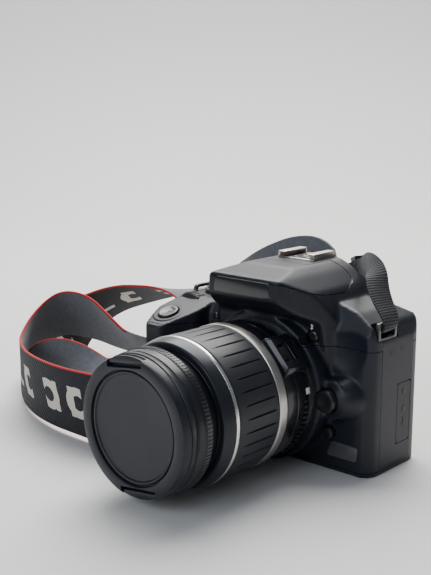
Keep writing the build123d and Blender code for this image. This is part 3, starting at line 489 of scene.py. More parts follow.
# ---- Mesh work -----------------------------------------------------------------------
class Bench:
    """Makes, joins and cuts meshes in millimetres, and hands them over in metres."""

    @staticmethod
    def mesh(bm: bmesh.types.BMesh) -> bpy.types.Mesh:
        """Moves a bmesh into a new mesh and frees it."""
        out = bpy.data.meshes.new("bench")
        bm.to_mesh(out)
        bm.free()
        return out

    @staticmethod
    def load(mesh: bpy.types.Mesh) -> bmesh.types.BMesh:
        """Returns a bmesh copy of a mesh."""
        bm = bmesh.new()
        bm.from_mesh(mesh)
        return bm

    @staticmethod
    def run(mesh: bpy.types.Mesh, steps: Sequence[tuple[str, dict]]) -> bpy.types.Mesh:
        """Puts modifiers on a mesh and bakes them in.

        Args:
            mesh: the mesh to change.
            steps: each modifier's type and settings; "cutter" holds a mesh.

        Returns:
            The finished mesh.
        """
        holder = bpy.data.objects.new("bench", mesh)
        bpy.context.scene.collection.objects.link(holder)
        spare = [holder]
        for kind, settings in steps:
            modifier = holder.modifiers.new(kind.lower(), kind)
            for key, val in settings.items():
                if key == "cutter":
                    tool = bpy.data.objects.new("bench_tool", val)
                    bpy.context.scene.collection.objects.link(tool)
                    spare.append(tool)
                    modifier.object = tool
                else:
                    setattr(modifier, key, val)
        bpy.context.view_layer.update()
        graph = bpy.context.evaluated_depsgraph_get()
        out = bpy.data.meshes.new_from_object(holder.evaluated_get(graph), depsgraph=graph)
        for item in spare:
            bpy.data.objects.remove(item)
        return out

    @staticmethod
    def soften(mesh: bpy.types.Mesh, width: float, segments: int = 3, degrees: float = 50) -> bpy.types.Mesh:
        """Rounds the edges that turn more sharply than some degrees."""
        settings = {"width": width, "segments": segments, "limit_method": "ANGLE",
                    "angle_limit": math.radians(degrees)}
        return Bench.run(mesh, [("BEVEL", settings)])

    @staticmethod
    def cut(mesh: bpy.types.Mesh, tool: bpy.types.Mesh, operation: str = "DIFFERENCE") -> bpy.types.Mesh:
        """Cuts one closed mesh with another."""
        step = ("BOOLEAN", {"operation": operation, "solver": "MANIFOLD", "cutter": tool})
        return Bench.run(mesh, [step])

    @staticmethod
    def join(meshes: Sequence[bpy.types.Mesh]) -> bpy.types.Mesh:
        """Puts several meshes into one."""
        bm = bmesh.new()
        for mesh in meshes:
            bm.from_mesh(mesh)
        return Bench.mesh(bm)

    @staticmethod
    def prism(outline: Sequence[Flat], axis: str, low: float, high: float) -> bpy.types.Mesh:
        """Extrudes an outline.

        Args:
            outline: corners in the plane across the axis, as (y, z), (x, z) or (x, y).
            axis: "X", "Y" or "Z".
            low: where the prism starts on that axis.
            high: where it ends.

        Returns:
            A closed mesh.
        """
        place: dict[str, Callable[[Flat], Point]] = {
            "X": lambda p: (low, p[0], p[1]), "Y": lambda p: (p[0], low, p[1]), "Z": lambda p: (p[0], p[1], low)}
        along = {"X": (1, 0, 0), "Y": (0, 1, 0), "Z": (0, 0, 1)}[axis]
        bm = bmesh.new()
        face = bm.faces.new([bm.verts.new(place[axis](p)) for p in outline])
        grown = bmesh.ops.extrude_face_region(bm, geom=[face])["geom"]
        moved = [v for v in grown if isinstance(v, bmesh.types.BMVert)]
        bmesh.ops.translate(bm, verts=moved, vec=Vector(along) * (high - low))
        bmesh.ops.recalc_face_normals(bm, faces=bm.faces)
        return Bench.mesh(bm)

    @staticmethod
    def block(low: Point, high: Point, radius: float = 0.0, segments: int = 3) -> bpy.types.Mesh:
        """Box between two corners, its edges rounded."""
        bm = bmesh.new()
        bmesh.ops.create_cube(bm, size=1.0)
        size = Vector(high) - Vector(low)
        bmesh.ops.scale(bm, verts=bm.verts, vec=size)
        bmesh.ops.translate(bm, verts=bm.verts, vec=(Vector(high) + Vector(low)) / 2)
        if radius:
            bmesh.ops.bevel(bm, geom=bm.edges[:], offset=radius, affect="EDGES", segments=segments,
                            profile=0.5, material=-1)
        return Bench.mesh(bm)

    @staticmethod
    def rod(radius: float, low: Point, high: Point, segments: int = 48, rounding: float = 0.0) -> bpy.types.Mesh:
        """Cylinder between two points, its end edges rounded."""
        bm = bmesh.new()
        axis = Vector(high) - Vector(low)
        bmesh.ops.create_cone(bm, cap_ends=True, segments=segments, radius1=radius, radius2=radius,
                              depth=axis.length)
        if rounding:
            rims = [e for e in bm.edges if any(len(f.verts) > 4 for f in e.link_faces)]
            bmesh.ops.bevel(bm, geom=rims, offset=rounding, affect="EDGES", segments=3, profile=0.5, material=-1)
        turn = axis.to_track_quat("Z", "Y").to_matrix().to_4x4()
        bmesh.ops.transform(bm, verts=bm.verts, matrix=Matrix.Translation((Vector(high) + Vector(low)) / 2) @ turn)
        return Bench.mesh(bm)

    @staticmethod
    def ball(radius: float, centre: Point) -> bpy.types.Mesh:
        """Sphere."""
        bm = bmesh.new()
        bmesh.ops.create_uvsphere(bm, u_segments=64, v_segments=32, radius=radius)
        bmesh.ops.translate(bm, verts=bm.verts, vec=centre)
        return Bench.mesh(bm)

    @staticmethod
    def hull(points: Sequence[Point]) -> bpy.types.Mesh:
        """Closed convex form around some points."""
        bm = bmesh.new()
        made = bmesh.ops.convex_hull(bm, input=[bm.verts.new(p) for p in points])
        spare = {v for v in made["geom_interior"] + made["geom_unused"] if isinstance(v, bmesh.types.BMVert)}
        bmesh.ops.delete(bm, geom=list(spare), context="VERTS")
        bmesh.ops.recalc_face_normals(bm, faces=bm.faces)
        return Bench.mesh(bm)

    @staticmethod
    def turned(profile: Sequence[Flat], segments: int = 160, axis_z: float = LENS_AXIS_Z) -> bmesh.types.BMesh:
        """Spins a closed profile of (y, radius) corners about the lens axis."""
        bm = bmesh.new()
        verts = [bm.verts.new((0, y, axis_z + r)) for y, r in profile]
        edges = [bm.edges.new((a, b)) for a, b in zip(verts, verts[1:] + verts[:1])]
        bmesh.ops.spin(bm, geom=verts + edges, cent=(0, 0, axis_z), axis=(0, 1, 0), angle=2 * math.pi,
                       steps=segments, use_merge=True)
        bmesh.ops.remove_doubles(bm, verts=bm.verts, dist=0.0001)
        bmesh.ops.recalc_face_normals(bm, faces=bm.faces)
        return bm

    @staticmethod
    def rounded(profile: Sequence[Flat], radius: float = 0.35, steps: int = 3) -> list[Flat]:
        """Rounds each corner of a closed profile."""
        out: list[Flat] = []
        count = len(profile)
        for i, corner in enumerate(profile):
            here = Vector(corner)
            before, after = Vector(profile[i - 1]) - here, Vector(profile[(i + 1) % count]) - here
            reach = min(radius, before.length * 0.45, after.length * 0.45)
            start, end = here + before.normalized() * reach, here + after.normalized() * reach
            for k in range(steps + 1):
                t = k / steps
                point = start * (1 - t) ** 2 + here * 2 * t * (1 - t) + end * t * t
                out.append((point.x, point.y))
        return out

    @staticmethod
    def moved(mesh: bpy.types.Mesh, matrix: Matrix) -> bpy.types.Mesh:
        """Moves a mesh, still in millimetres."""
        mesh.transform(matrix)
        return mesh

    @staticmethod
    def finish(name: str, mesh: bpy.types.Mesh, body: str, slot: str, *finishes: object,
               replaced: Sequence[str] = (), angle: float = SMOOTH_ANGLE) -> bpy.types.Object:
        """Hands a mesh over as a piece.

        Args:
            name: the piece's name.
            mesh: its mesh, in millimetres.
            body: the frame's body it rides on.
            slot: the record's material slot; not used.
            finishes: its finishes, one a material index.
            replaced: frame nodes it stands for.
            angle: edges sharper than this stay sharp.

        Returns:
            The piece.
        """
        mesh.transform(Matrix.Scale(MM, 4))
        mesh.name = name
        mesh.shade_smooth()
        mesh.set_sharp_from_angle(angle=angle)
        for k, finish in enumerate(finishes):
            if k < len(mesh.materials):
                mesh.materials[k] = SHELF.take(finish)
            else:
                mesh.materials.append(SHELF.take(finish))
        piece = bpy.data.objects.new(name, mesh)
        bpy.context.scene.collection.objects.link(piece)
        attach(piece, body)
        if replaced:
            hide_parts(*replaced)
        LOG.info("%s: %d faces", name, len(mesh.polygons))
        return piece


# ---- Studio --------------------------------------------------------------------------
@dataclass
class Studio:
    """Camera, pale sweep of paper and soft lights."""

    azimuth: float = 41.961
    elevation: float = 11.189
    roll: float = 0.123
    position: Point = (283.24, -371.54, 172.39)
    focal_length: float = 60.753
    sweep_back: float = 620.0
    paper_front: float = -1600.0
    paper_top: float = 2400.0
    paper_half_width: float = 2600.0
    sweep_radius: float = 300.0

    def build(self) -> None:
        """Makes everything in the studio."""
        self.place_camera()
        self.lay_paper()
        self.hang_lights()

    def place_camera(self) -> None:
        """Sets the camera at its tripod's place."""
        data = bpy.data.cameras.new("view")
        data.lens = self.focal_length
        data.sensor_width = 36.0
        data.clip_start = 0.01
        data.clip_end = 20.0
        camera = bpy.data.objects.new("view", data)
        bpy.context.scene.collection.objects.link(camera)
        a, e = math.radians(self.azimuth), math.radians(self.elevation)
        back = Vector((math.sin(a) * math.cos(e), -math.cos(a) * math.cos(e), math.sin(e)))
        turn = (-back).to_track_quat("-Z", "Y").to_matrix() @ Matrix.Rotation(math.radians(self.roll), 3, "Z")
        camera.matrix_world = Matrix.Translation(Vector(self.position) * MM) @ turn.to_4x4()
        bpy.context.scene.camera = camera

    def lay_paper(self) -> None:
        """Lays a floor that curves up into a backdrop behind the camera."""
        bm = bmesh.new()
        steps = 14
        line = [(self.paper_front, 0.0), (self.sweep_back, 0.0)]
        for k in range(1, steps + 1):
            t = math.radians(90 * k / steps)
            line.append((self.sweep_back + self.sweep_radius * math.sin(t), self.sweep_radius * (1 - math.cos(t))))
        line.append((self.sweep_back + self.sweep_radius, self.paper_top))
        verts = [bm.verts.new((-self.paper_half_width, y, z)) for y, z in line]
        edges = [bm.edges.new(pair) for pair in zip(verts, verts[1:])]
        grown = bmesh.ops.extrude_edge_only(bm, edges=edges)["geom"]
        moved = [v for v in grown if isinstance(v, bmesh.types.BMVert)]
        bmesh.ops.translate(bm, verts=moved, vec=(2 * self.paper_half_width, 0, 0))
        bmesh.ops.recalc_face_normals(bm, faces=bm.faces)
        turn = Matrix.Rotation(math.radians(self.azimuth), 4, "Z")
        bmesh.ops.transform(bm, verts=bm.verts, matrix=turn)
        mesh = Bench.mesh(bm)
        mesh.transform(Matrix.Scale(MM, 4))
        mesh.shade_smooth()
        mesh.materials.append(SHELF.take(Card()))
        paper = bpy.data.objects.new("paper_sweep", mesh)
        bpy.context.scene.collection.objects.link(paper)

    def lamp(self, name: str, watts: float, place: Point, size: Flat, colour: Point, aim: Point) -> None:
        """Hangs one soft box, in metres, aimed at a point."""
        data = bpy.data.lights.new(name, "AREA")
        data.shape = "RECTANGLE"
        data.size, data.size_y = size
        data.energy = watts
        data.color = colour
        light = bpy.data.objects.new(name, data)
        light.location = place
        light.rotation_mode = "QUATERNION"
        light.rotation_quaternion = (Vector(aim) - Vector(place)).to_track_quat("-Z", "Y")
        bpy.context.scene.collection.objects.link(light)

    def hang_lights(self) -> None:
        """Hangs the soft boxes and sets the room's own light."""
        scene = bpy.context.scene
        world = bpy.data.worlds.new("room")
        scene.world = world
        world.use_nodes = True
        sky = world.node_tree.nodes["Background"]
        sky.inputs["Color"].default_value = (0.86, 0.92, 1.0, 1.0)
        sky.inputs["Strength"].default_value = 0.2
        self.lamp("top_box", 29.0, (-0.36, 0.40, 1.0), (1.0, 0.9), (1.0, 0.985, 0.965), (0.0, 0.0, 0.05))
        self.lamp("front_fill", 6.0, (-0.02, -1.05, 0.62), (0.9, 0.6), (0.84, 0.92, 1.0), (0.0, -0.03, 0.04))


# ---- Neck strap ----------------------------------------------------------------------
Station = tuple[Point, Point]
Cells = dict[bmesh.types.BMVert, tuple[float, int]]


@dataclass
class NeckStrap:
    """Woven neck band with its piping and webbing; the sliders stay as carried-over nodes."""

    band_width: float = 38.0
    band_thickness: float = 1.5
    webbing_width: float = 10.0
    webbing_thickness: float = 1.1
    piping_radius: float = 0.75
    crown: float = 0.25
    piping_start: float = 74.0
    piping_bare: int = 6
    band_route: tuple[Station, ...] = (
        ((-4.0, 43.5, 79.5), (-0.2, 0.0, -1.0)),
        ((-22.0, 44.0, 83.0), (-0.1, 0.0, -1.0)),
        ((-47.0, 45.0, 73.5), (0.1, 0.0, -1.0)),
        ((-68.0, 47.0, 62.0), (0.35, -0.2, -0.9)),
        ((-92.0, 52.0, 56.0), (0.6, -0.7, -0.5)),
        ((-118.0, 63.0, 54.0), (0.5, -0.8, 0.0)),
        ((-142.0, 66.0, 50.5), (0.6, -0.75, 0.25)),
        ((-164.0, 60.0, 46.5), (0.6, -0.65, 0.45)),
        ((-183.0, 47.0, 41.5), (0.55, -0.55, 0.65)),
        ((-192.0, 30.0, 31.0), (0.3, -0.4, 0.85)),
        ((-190.0, 10.0, 19.5), (-0.3, 0.0, 0.9)),
        ((-178.0, -8.0, 10.0), (-0.7, -0.3, 0.3)),
        ((-163.0, -21.0, 9.5), (-0.5, -0.7, 0.3)),
        ((-146.0, -31.0, 18.6), (-0.4, -0.4, 0.6)),
        ((-128.0, -38.0, 20.0), (-0.1, 0.3, 0.85)),
        ((-106.0, -42.0, 17.0), (0.0, 0.7, 0.65)),
        ((-84.0, -45.0, 16.0), (0.0, 0.6, 0.75)),
        ((-64.0, -46.5, 19.5), (0.0, 0.25, 0.95)),
        ((-49.0, -50.5, 20.5), (0.0, 0.0, 1.0)),
        ((-46.5, -61.0, 20.5), (0.0, 0.0, 1.0)),
        ((-58.0, -69.0, 20.5), (0.15, -0.1, 0.97)),
        ((-80.0, -71.0, 20.5), (0.22, -0.2, 0.95)),
        ((-106.0, -70.0, 20.5), (0.26, -0.22, 0.94)),
        ((-132.0, -63.0, 20.5), (0.3, -0.25, 0.92)),
        ((-155.0, -50.0, 23.0), (0.35, -0.25, 0.9)),
        ((-169.0, -31.0, 34.0), (0.45, -0.2, 0.85)),
        ((-166.0, -12.0, 44.5), (0.5, -0.3, 0.8)),
        ((-149.0, -3.0, 44.0), (0.4, -0.4, 0.8)),
        ((-129.0, 0.0, 36.0), (0.35, -0.6, 0.7)),
        ((-110.0, 4.0, 30.0), (0.2, -0.8, 0.5)),
        ((-94.0, 8.0, 30.0), (0.0, -0.8, 0.6)),
    )
    near_route: tuple[Station, ...] = (
        ((53.2, -1.5, 67.6), (0.0, 1.0, 0.0)),
        ((57.4, -1.5, 68.8), (0.0, 1.0, 0.0)),
        ((56.6, -1.5, 74.5), (0.2, 1.0, 0.0)),
        ((52.0, -0.5, 80.0), (0.4, 0.9, 0.0)),
        ((47.5, 1.5, 86.5), (0.5, 0.8, 0.2)),
        ((44.0, 5.5, 93.0), (0.6, 0.5, 0.4)),
        ((35.0, 14.0, 95.0), (0.3, -0.1, 0.9)),
        ((24.0, 28.0, 92.0), (0.1, -0.2, 1.0)),
        ((11.0, 42.0, 84.5), (0.1, -0.1, 1.0)),
        ((-4.0, 43.5, 79.5), (0.0, 0.0, 1.0)),
    )
    far_route: tuple[Station, ...] = (
        ((-94.0, 8.0, 30.0), (0.0, -0.8, 0.6)),
        ((-86.5, 11.0, 33.0), (0.1, -0.9, 0.3)),
        ((-82.0, 12.0, 41.0), (0.1, -1.0, 0.0)),
        ((-79.5, 12.0, 49.5), (0.1, -1.0, 0.0)),
        ((-76.0, 11.0, 58.0), (0.0, -1.0, 0.0)),
        ((-73.0, 10.0, 64.0), (0.0, -1.0, 0.0)),
        ((-70.8, 10.0, 68.6), (0.0, -1.0, 0.0)),
        ((-66.2, 10.0, 67.8), (0.0, -1.0, 0.0)),
    )

    def build(self) -> None:
        """Makes the strap; its free lengths are worked out in metres but not declared."""
        centres, edges = self.frames(self.band_route, 8)
        band = self.ribbon("strap_band_cloth", centres, edges, self.band_width - 1.4, self.band_thickness,
                           "strap_fabric", BandCloth(WeaveSide.PATTERNED, self.band_width),
                           BandCloth(WeaveSide.BACKING, self.band_width), (self.band_width / 2, 0.25))
        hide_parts("strap_band")
        start = next(k for k in range(len(centres)) if self.length(centres[:k + 1]) > self.piping_start)
        sewn = slice(start, -self.piping_bare)
        piping = [self.cord_along(f"strap_piping_{side}", centres[sewn], edges[sewn], sign)
                  for side, sign in (("near", -1), ("far", 1))]
        near_line, near_edges = self.frames(self.near_route, 10)
        near = self.ribbon("strap_webbing_near", near_line, near_edges, self.webbing_width,
                           self.webbing_thickness, "webbing_fabric", BLACK_WEBBING, BLACK_WEBBING)
        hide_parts("strap_webbing")
        far_line, far_edges = self.frames(self.far_route, 10)
        far = self.ribbon("strap_webbing_far", far_line, far_edges, self.webbing_width, self.webbing_thickness,
                          "webbing_fabric", BLACK_WEBBING, BLACK_WEBBING)
        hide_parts("strap_webbing")
        centres[0] * MM
        [p * MM for p in centres]
        near_line[0] * MM
        [p * MM for p in near_line]

    @staticmethod
    def length(line: Sequence[Vector]) -> float:
        """Length of a line of points."""
        return sum((b - a).length for a, b in zip(line, line[1:]))

    @staticmethod
    def covered(line: Sequence[Vector]) -> list[float]:
        """Length of a line up to each of its points."""
        run = [0.0]
        for a, b in zip(line, line[1:]):
            run.append(run[-1] + (b - a).length)
        return run

    @staticmethod
    def ahead(line: Sequence[Vector], row: int) -> Vector:
        """Direction of a line at one of its points."""
        return (line[min(row + 1, len(line) - 1)] - line[max(row - 1, 0)]).normalized()

    @staticmethod
    def narrowed(near_end: float, reach: float, share: float) -> float:
        """Share of the width kept at a distance from the end of a strap with round corners."""
        if near_end >= reach:
            return 1.0
        return min(1.0, share + (1 - share) * math.sqrt(max(0.0, 1 - (1 - near_end / reach) ** 2)))

    @staticmethod
    def grid(columns: int, rows: int) -> tuple[bmesh.types.BMesh, bmesh.types.BMLayerItem, Cells]:
        """Flat grid with its cloth map, and each vertex's share of the width and row."""
        bm = bmesh.new()
        bmesh.ops.create_grid(bm, x_segments=columns, y_segments=rows, size=0.5)
        layer = bm.loops.layers.uv.new("cloth")
        return bm, layer, {v: (v.co.x + 0.5, round((v.co.y + 0.5) * rows)) for v in bm.verts}

    @staticmethod
    def map_cloth(bm: bmesh.types.BMesh, layer: bmesh.types.BMLayerItem, cells: Cells, width: float,
                  run: Sequence[float]) -> None:
        """Lays the cloth map in millimetres across and along."""
        for face in bm.faces:
            for loop in face.loops:
                u, row = cells[loop.vert]
                loop[layer].uv = (u * width, run[row])

    @staticmethod
    def spline(points: Sequence[Point], resolution: int) -> list[Vector]:
        """Reads back the points of a smooth curve through a route."""
        curve = bpy.data.curves.new("route", "CURVE")
        curve.dimensions = "3D"
        curve.resolution_u = resolution
        line = curve.splines.new("NURBS")
        line.points.add(len(points) - 1)
        for target, point in zip(line.points, points):
            target.co = (*point, 1.0)
        line.order_u = 3
        line.use_endpoint_u = True
        holder = bpy.data.objects.new("route", curve)
        bpy.context.scene.collection.objects.link(holder)
        mesh = bpy.data.meshes.new_from_object(holder)
        found = [v.co.copy() for v in mesh.vertices]
        bpy.data.objects.remove(holder)
        bpy.data.meshes.remove(mesh)
        return found

    def frames(self, route: Sequence[Station], resolution: int) -> tuple[list[Vector], list[Vector]]:
        """Centre points and unit edge directions along a route."""
        centres = self.spline([station[0] for station in route], resolution)
        leans = self.spline([tuple(100 * c for c in station[1]) for station in route], resolution)
        edges = []
        for k, lean in enumerate(leans):
            ahead = self.ahead(centres, k)
            edges.append((lean - ahead * lean.dot(ahead)).normalized())
        return centres, edges

    def ribbon(self, name: str, centres: Sequence[Vector], edges: Sequence[Vector], width: float,
               thickness: float, slot: str, face: object, back: object,
               ends: Flat = (12.0, 0.7)) -> bpy.types.Object:
        """Flat strap along a line, from a grid laid on it.

        Args:
            name: the piece's name.
            centres: points of its middle line.
            edges: unit directions to its second edge.
            width: its width.
            thickness: its thickness.
            slot: the record's material slot, passed on to Bench.finish, which does not use it.
            face: finish of the patterned side.
            back: finish of the other side.
            ends: how far from its ends the strap narrows, and the share of the width left there.

        Returns:
            The piece.
        """
        bm, layer, cells = self.grid(8, len(centres) - 1)
        run = self.covered(centres)
        full = [self.narrowed(min(done, run[-1] - done), *ends) for done in run]
        for vert, (u, row) in cells.items():
            normal = edges[row].cross(self.ahead(centres, row))
            crown = self.crown * (1 - (2 * u - 1) ** 2)
            vert.co = centres[row] + edges[row] * ((u - 0.5) * width * full[row]) + normal * crown
        self.map_cloth(bm, layer, cells, width, run)
        first = bm.faces[:][0]
        first.normal_update()
        row = cells[first.verts[0]][1]
        if first.normal.dot(edges[row].cross(self.ahead(centres, row))) < 0:
            bmesh.ops.reverse_faces(bm, faces=bm.faces)
        flat = Bench.mesh(bm)
        for finish in (face, back):
            flat.materials.append(SHELF.take(finish))
        mesh = Bench.run(flat, [("SOLIDIFY", {"thickness": thickness, "offset": 0.0, "material_offset": 1,
                                              "material_offset_rim": 1})])
        return Bench.finish(name, mesh, "camera", slot, face, back)

    def cord_along(self, name: str, centres: Sequence[Vector], edges: Sequence[Vector],
                   sign: int) -> bpy.types.Object:
        """Round piping sewn along one edge of the band, from a grid rolled into a tube."""
        around = 10
        bm, layer, cells = self.grid(around, len(centres) - 1)
        reach = self.band_width / 2 - self.piping_radius
        for vert, (u, row) in cells.items():
            normal = edges[row].cross(self.ahead(centres, row))
            turn = u * 2 * math.pi
            out = edges[row] * math.cos(turn) + normal * math.sin(turn)
            vert.co = centres[row] + edges[row] * (reach * sign) + out * self.piping_radius
        self.map_cloth(bm, layer, cells, 4, self.covered(centres))
        bmesh.ops.remove_doubles(bm, verts=bm.verts, dist=0.001)
        rims = [e for e in bm.edges if e.is_boundary]
        bmesh.ops.holes_fill(bm, edges=rims, sides=around + 1)
        bmesh.ops.recalc_face_normals(bm, faces=bm.faces)
        return Bench.finish(name, Bench.mesh(bm), "camera", "strap_fabric", RED_CORD)


# ---- Body ----------------------------------------------------------------------------
@dataclass
class BodyForms:
    """Closed forms of the body's outside, in millimetres, in its own seams and pockets."""

    left: float = -68.8
    grip_face: float = -69.6
    side_face: float = 56.5
    front_face: float = -15.0
    back_face: float = 28.0
    deck: float = 70.3
    grip_front: float = -39.0
    grip_slope: float = math.radians(21.0)
    hump_top: float = 94.4
    pivot: Flat = (8.5, 90.0)
    voxel: float = 0.85

    @staticmethod
    def meet(*views: tuple[str, Sequence[Flat], float, float, float]) -> bpy.types.Mesh:
        """Solid common to several views, each (axis, outline, corner radius, low, high)."""
        solids = [Bench.prism(Bench.rounded(line, radius, 4), axis, low, high)
                  for axis, line, radius, low, high in views]
        out = solids[0]
        for solid in solids[1:]:
            out = Bench.cut(out, solid, "INTERSECT")
        return out

    def core(self) -> bpy.types.Mesh:
        """Main block between the grip and the terminal side."""
        over, side, left = 6.0, self.side_face, self.left
        front = [(left - over, 0), (left - over, 56.8), (left + 7, 69.7), (-36, 69.7), (-28, 78), (31, 79),
                 (44, 75.8), (side - 2.5, self.deck), (side + over, 45.6), (side + over, 0)]
        profile = [(self.front_face - over, -over), (self.front_face - over, 52.7), (-7, 79), (14, 80),
                   (self.back_face + over, 67.1), (self.back_face + over, -over)]
        plan = [(left, self.front_face), (side, self.front_face), (side, self.back_face), (left, self.back_face)]
        return self.meet(("Z", plan, 8.0, -5, 115), ("Y", front, 2.0, -60, 60), ("X", profile, 2.0, -90, 90))

    def grip(self) -> bpy.types.Mesh:
        """Hand grip with its sloping top."""
        face, over, deck = self.grip_face, 6.0, self.deck
        front = [(face - over, 0), (face - over, 58), (face + 6, deck), (-39, deck), (-37, 0)]
        low_z = deck - (-9 - self.grip_front + over) * math.tan(self.grip_slope)
        profile = [(40, -over), (40, deck + 3), (-9, deck + 0.5), (self.grip_front - over, low_z),
                   (self.grip_front - over, -over)]
        lean = [(40, -over), (40, 90), (self.grip_front - 1, 90), (self.grip_front, 50),
                (self.grip_front + 5.5, -over)]
        plan = [(face, 24.5), (face, -24), (-64, self.grip_front - 1), (-54, self.grip_front - 1), (-42, -20),
                (-40, 24.5)]
        return self.meet(("Z", plan, 6.5, -5, 115), ("Y", front, 2.0, -60, 60), ("X", profile, 2.0, -90, 90),
                         ("X", lean, 2.0, -91, 91))

    def hump(self) -> bpy.types.Mesh:
        """Finder housing with its nose and the lobes of the flash head."""
        top, back = self.hump_top, self.back_face
        front = [(-38, 50), (-36, 70), (-29.5, 84), (-20, 91), (-14, top), (14, top), (20, 91), (29.5, 84),
                 (36, 70), (38, 50)]
        profile = [(back - 1, 44), (back - 1, 80), (22, 87), (20, 100), (-12, 100), (-20, top - 0.6), (-38, 91),
                   (-38.5, 81), (-30, 75), (-19, 70), (-15, 44)]
        plan = [(-44, back + 6), (-44, 2), (-20, -40), (19, -40), (44, 2), (44, back + 6)]
        return self.meet(("Z", plan, 4.0, -5, 115), ("Y", front, 2.0, -60, 60), ("X", profile, 1.6, -90, 90))

    def skin(self) -> bpy.types.Mesh:
        """One smooth closed skin over every form, with its hollows pressed in."""
        body = self.core()
        for hollow in (Bench.ball(34.0, (43.5, -15.0 - 31.4, 61.0)), Bench.ball(30.0, (-30.0, -15.0 - 28.6, 66.0))):
            body = Bench.cut(body, hollow)
        swellings = [self.grip(), self.hump(), Bench.rod(36.0, (0, -25.5, LENS_AXIS_Z), (0, 2, LENS_AXIS_Z), 128),
                     Bench.rod(9.4, (38.5, -21.5, LENS_AXIS_Z), (38.5, 2, LENS_AXIS_Z), 64),
                     Bench.ball(10.6, (42.6, -12.6, LENS_AXIS_Z)),
                     Bench.hull([(20, -15.6, 40), (20, -15.6, 77), (31.5, -15.6, 77), (31.5, -15.6, 56), (20, 2, 40),
                                 (20, 2, 80), (31.5, 2, 80), (31.5, 2, 56)])]
        for form in swellings:
            body = Bench.cut(body, form, "UNION")
        body = Bench.cut(body, Bench.block((-200, -200, -20), (200, 200, 0.0)))
        steps = [("REMESH", {"mode": "VOXEL", "voxel_size": self.voxel, "adaptivity": 0.0}),
                 ("SMOOTH", {"factor": 0.5, "iterations": 7})]
        return Bench.run(body, steps)

    def lid_zone(self, gap: float) -> bpy.types.Mesh:
        """Space of the flash head, grown by -gap."""
        y, z = self.pivot
        line = [(-60, 90.2), (-36, 89.6), (-30, 87.2), (-24, 84.9), (-16, 83.2), (-8, 82.5), (2, 82.2), (y, 85.4)]
        side = [(a, b + gap) for a, b in line] + [(y, 120), (-60, 120)]
        heel = 4.6 if gap == 0 else 4.85 - gap
        zone = Bench.cut(Bench.prism(side, "X", -50, 50), Bench.rod(heel, (-49, y, z), (49, y, z), 64), "UNION")
        return Bench.cut(zone, Bench.block((-14 - gap, -8 - gap, 70), (14 + gap, 40, 121)))


TRIANGLE: tuple[Flat, ...] = ((-0.8, -0.9), (0.9, 0.0), (-0.8, 0.9))
BARS: tuple[Flat, ...] = ((-1.0, -0.8), (1.0, -0.8), (1.0, 0.8), (-1.0, 0.8))
SHUTTER_SEAT: Point = (-58.4, -27.5, 63.66)
MAIN_DIAL: Flat = (-58.0, 63.4)
MODE_DIAL: Flat = (-51.0, 9.0)
ISO_BUTTON: Flat = (-43.5, -4.0)
DIOPTER: Flat = (22.5, 80.5)
PAD: Flat = (-43.0, 34.0)
PAD_HOLE = 11.0
FLUSH = 0.9


@dataclass(frozen=True)
class Button:
    """Round push button: node, place on its face, radius, reach, and the mark printed on it."""

    node: str
    x: float
    z: float
    radius: float
    tip: float = FLUSH
    dome: float = 0.35
    mark: tuple[Flat, ...] = ()


REAR_BUTTONS = (
    Button("menu_button", 42.0, 56.4, 2.4, mark=BARS), Button("display_button", 32.0, 56.4, 2.4, mark=BARS),
    Button("exposure_comp_button", -27.0, 50.0, 2.6, mark=TRIANGLE),
    Button("play_button", -30.0, 14.0, 2.6, mark=TRIANGLE), Button("erase_button", -43.0, 14.0, 2.6, mark=BARS),
    Button("exposure_lock_button", -48.5, 54.0, 2.6), Button("focus_point_button", -58.5, 54.0, 2.6))
SET_BUTTON = Button("set_button", *PAD, 4.0, 0.6)
FLASH_BUTTON = Button("flash_button", 26.0, 63.6, 2.7, 3.9, 0.5)
PREVIEW_BUTTON = Button("depth_preview_button", 35.0, 18.6, 2.8, 3.2, 0.3)
RELEASE_X = 38.5


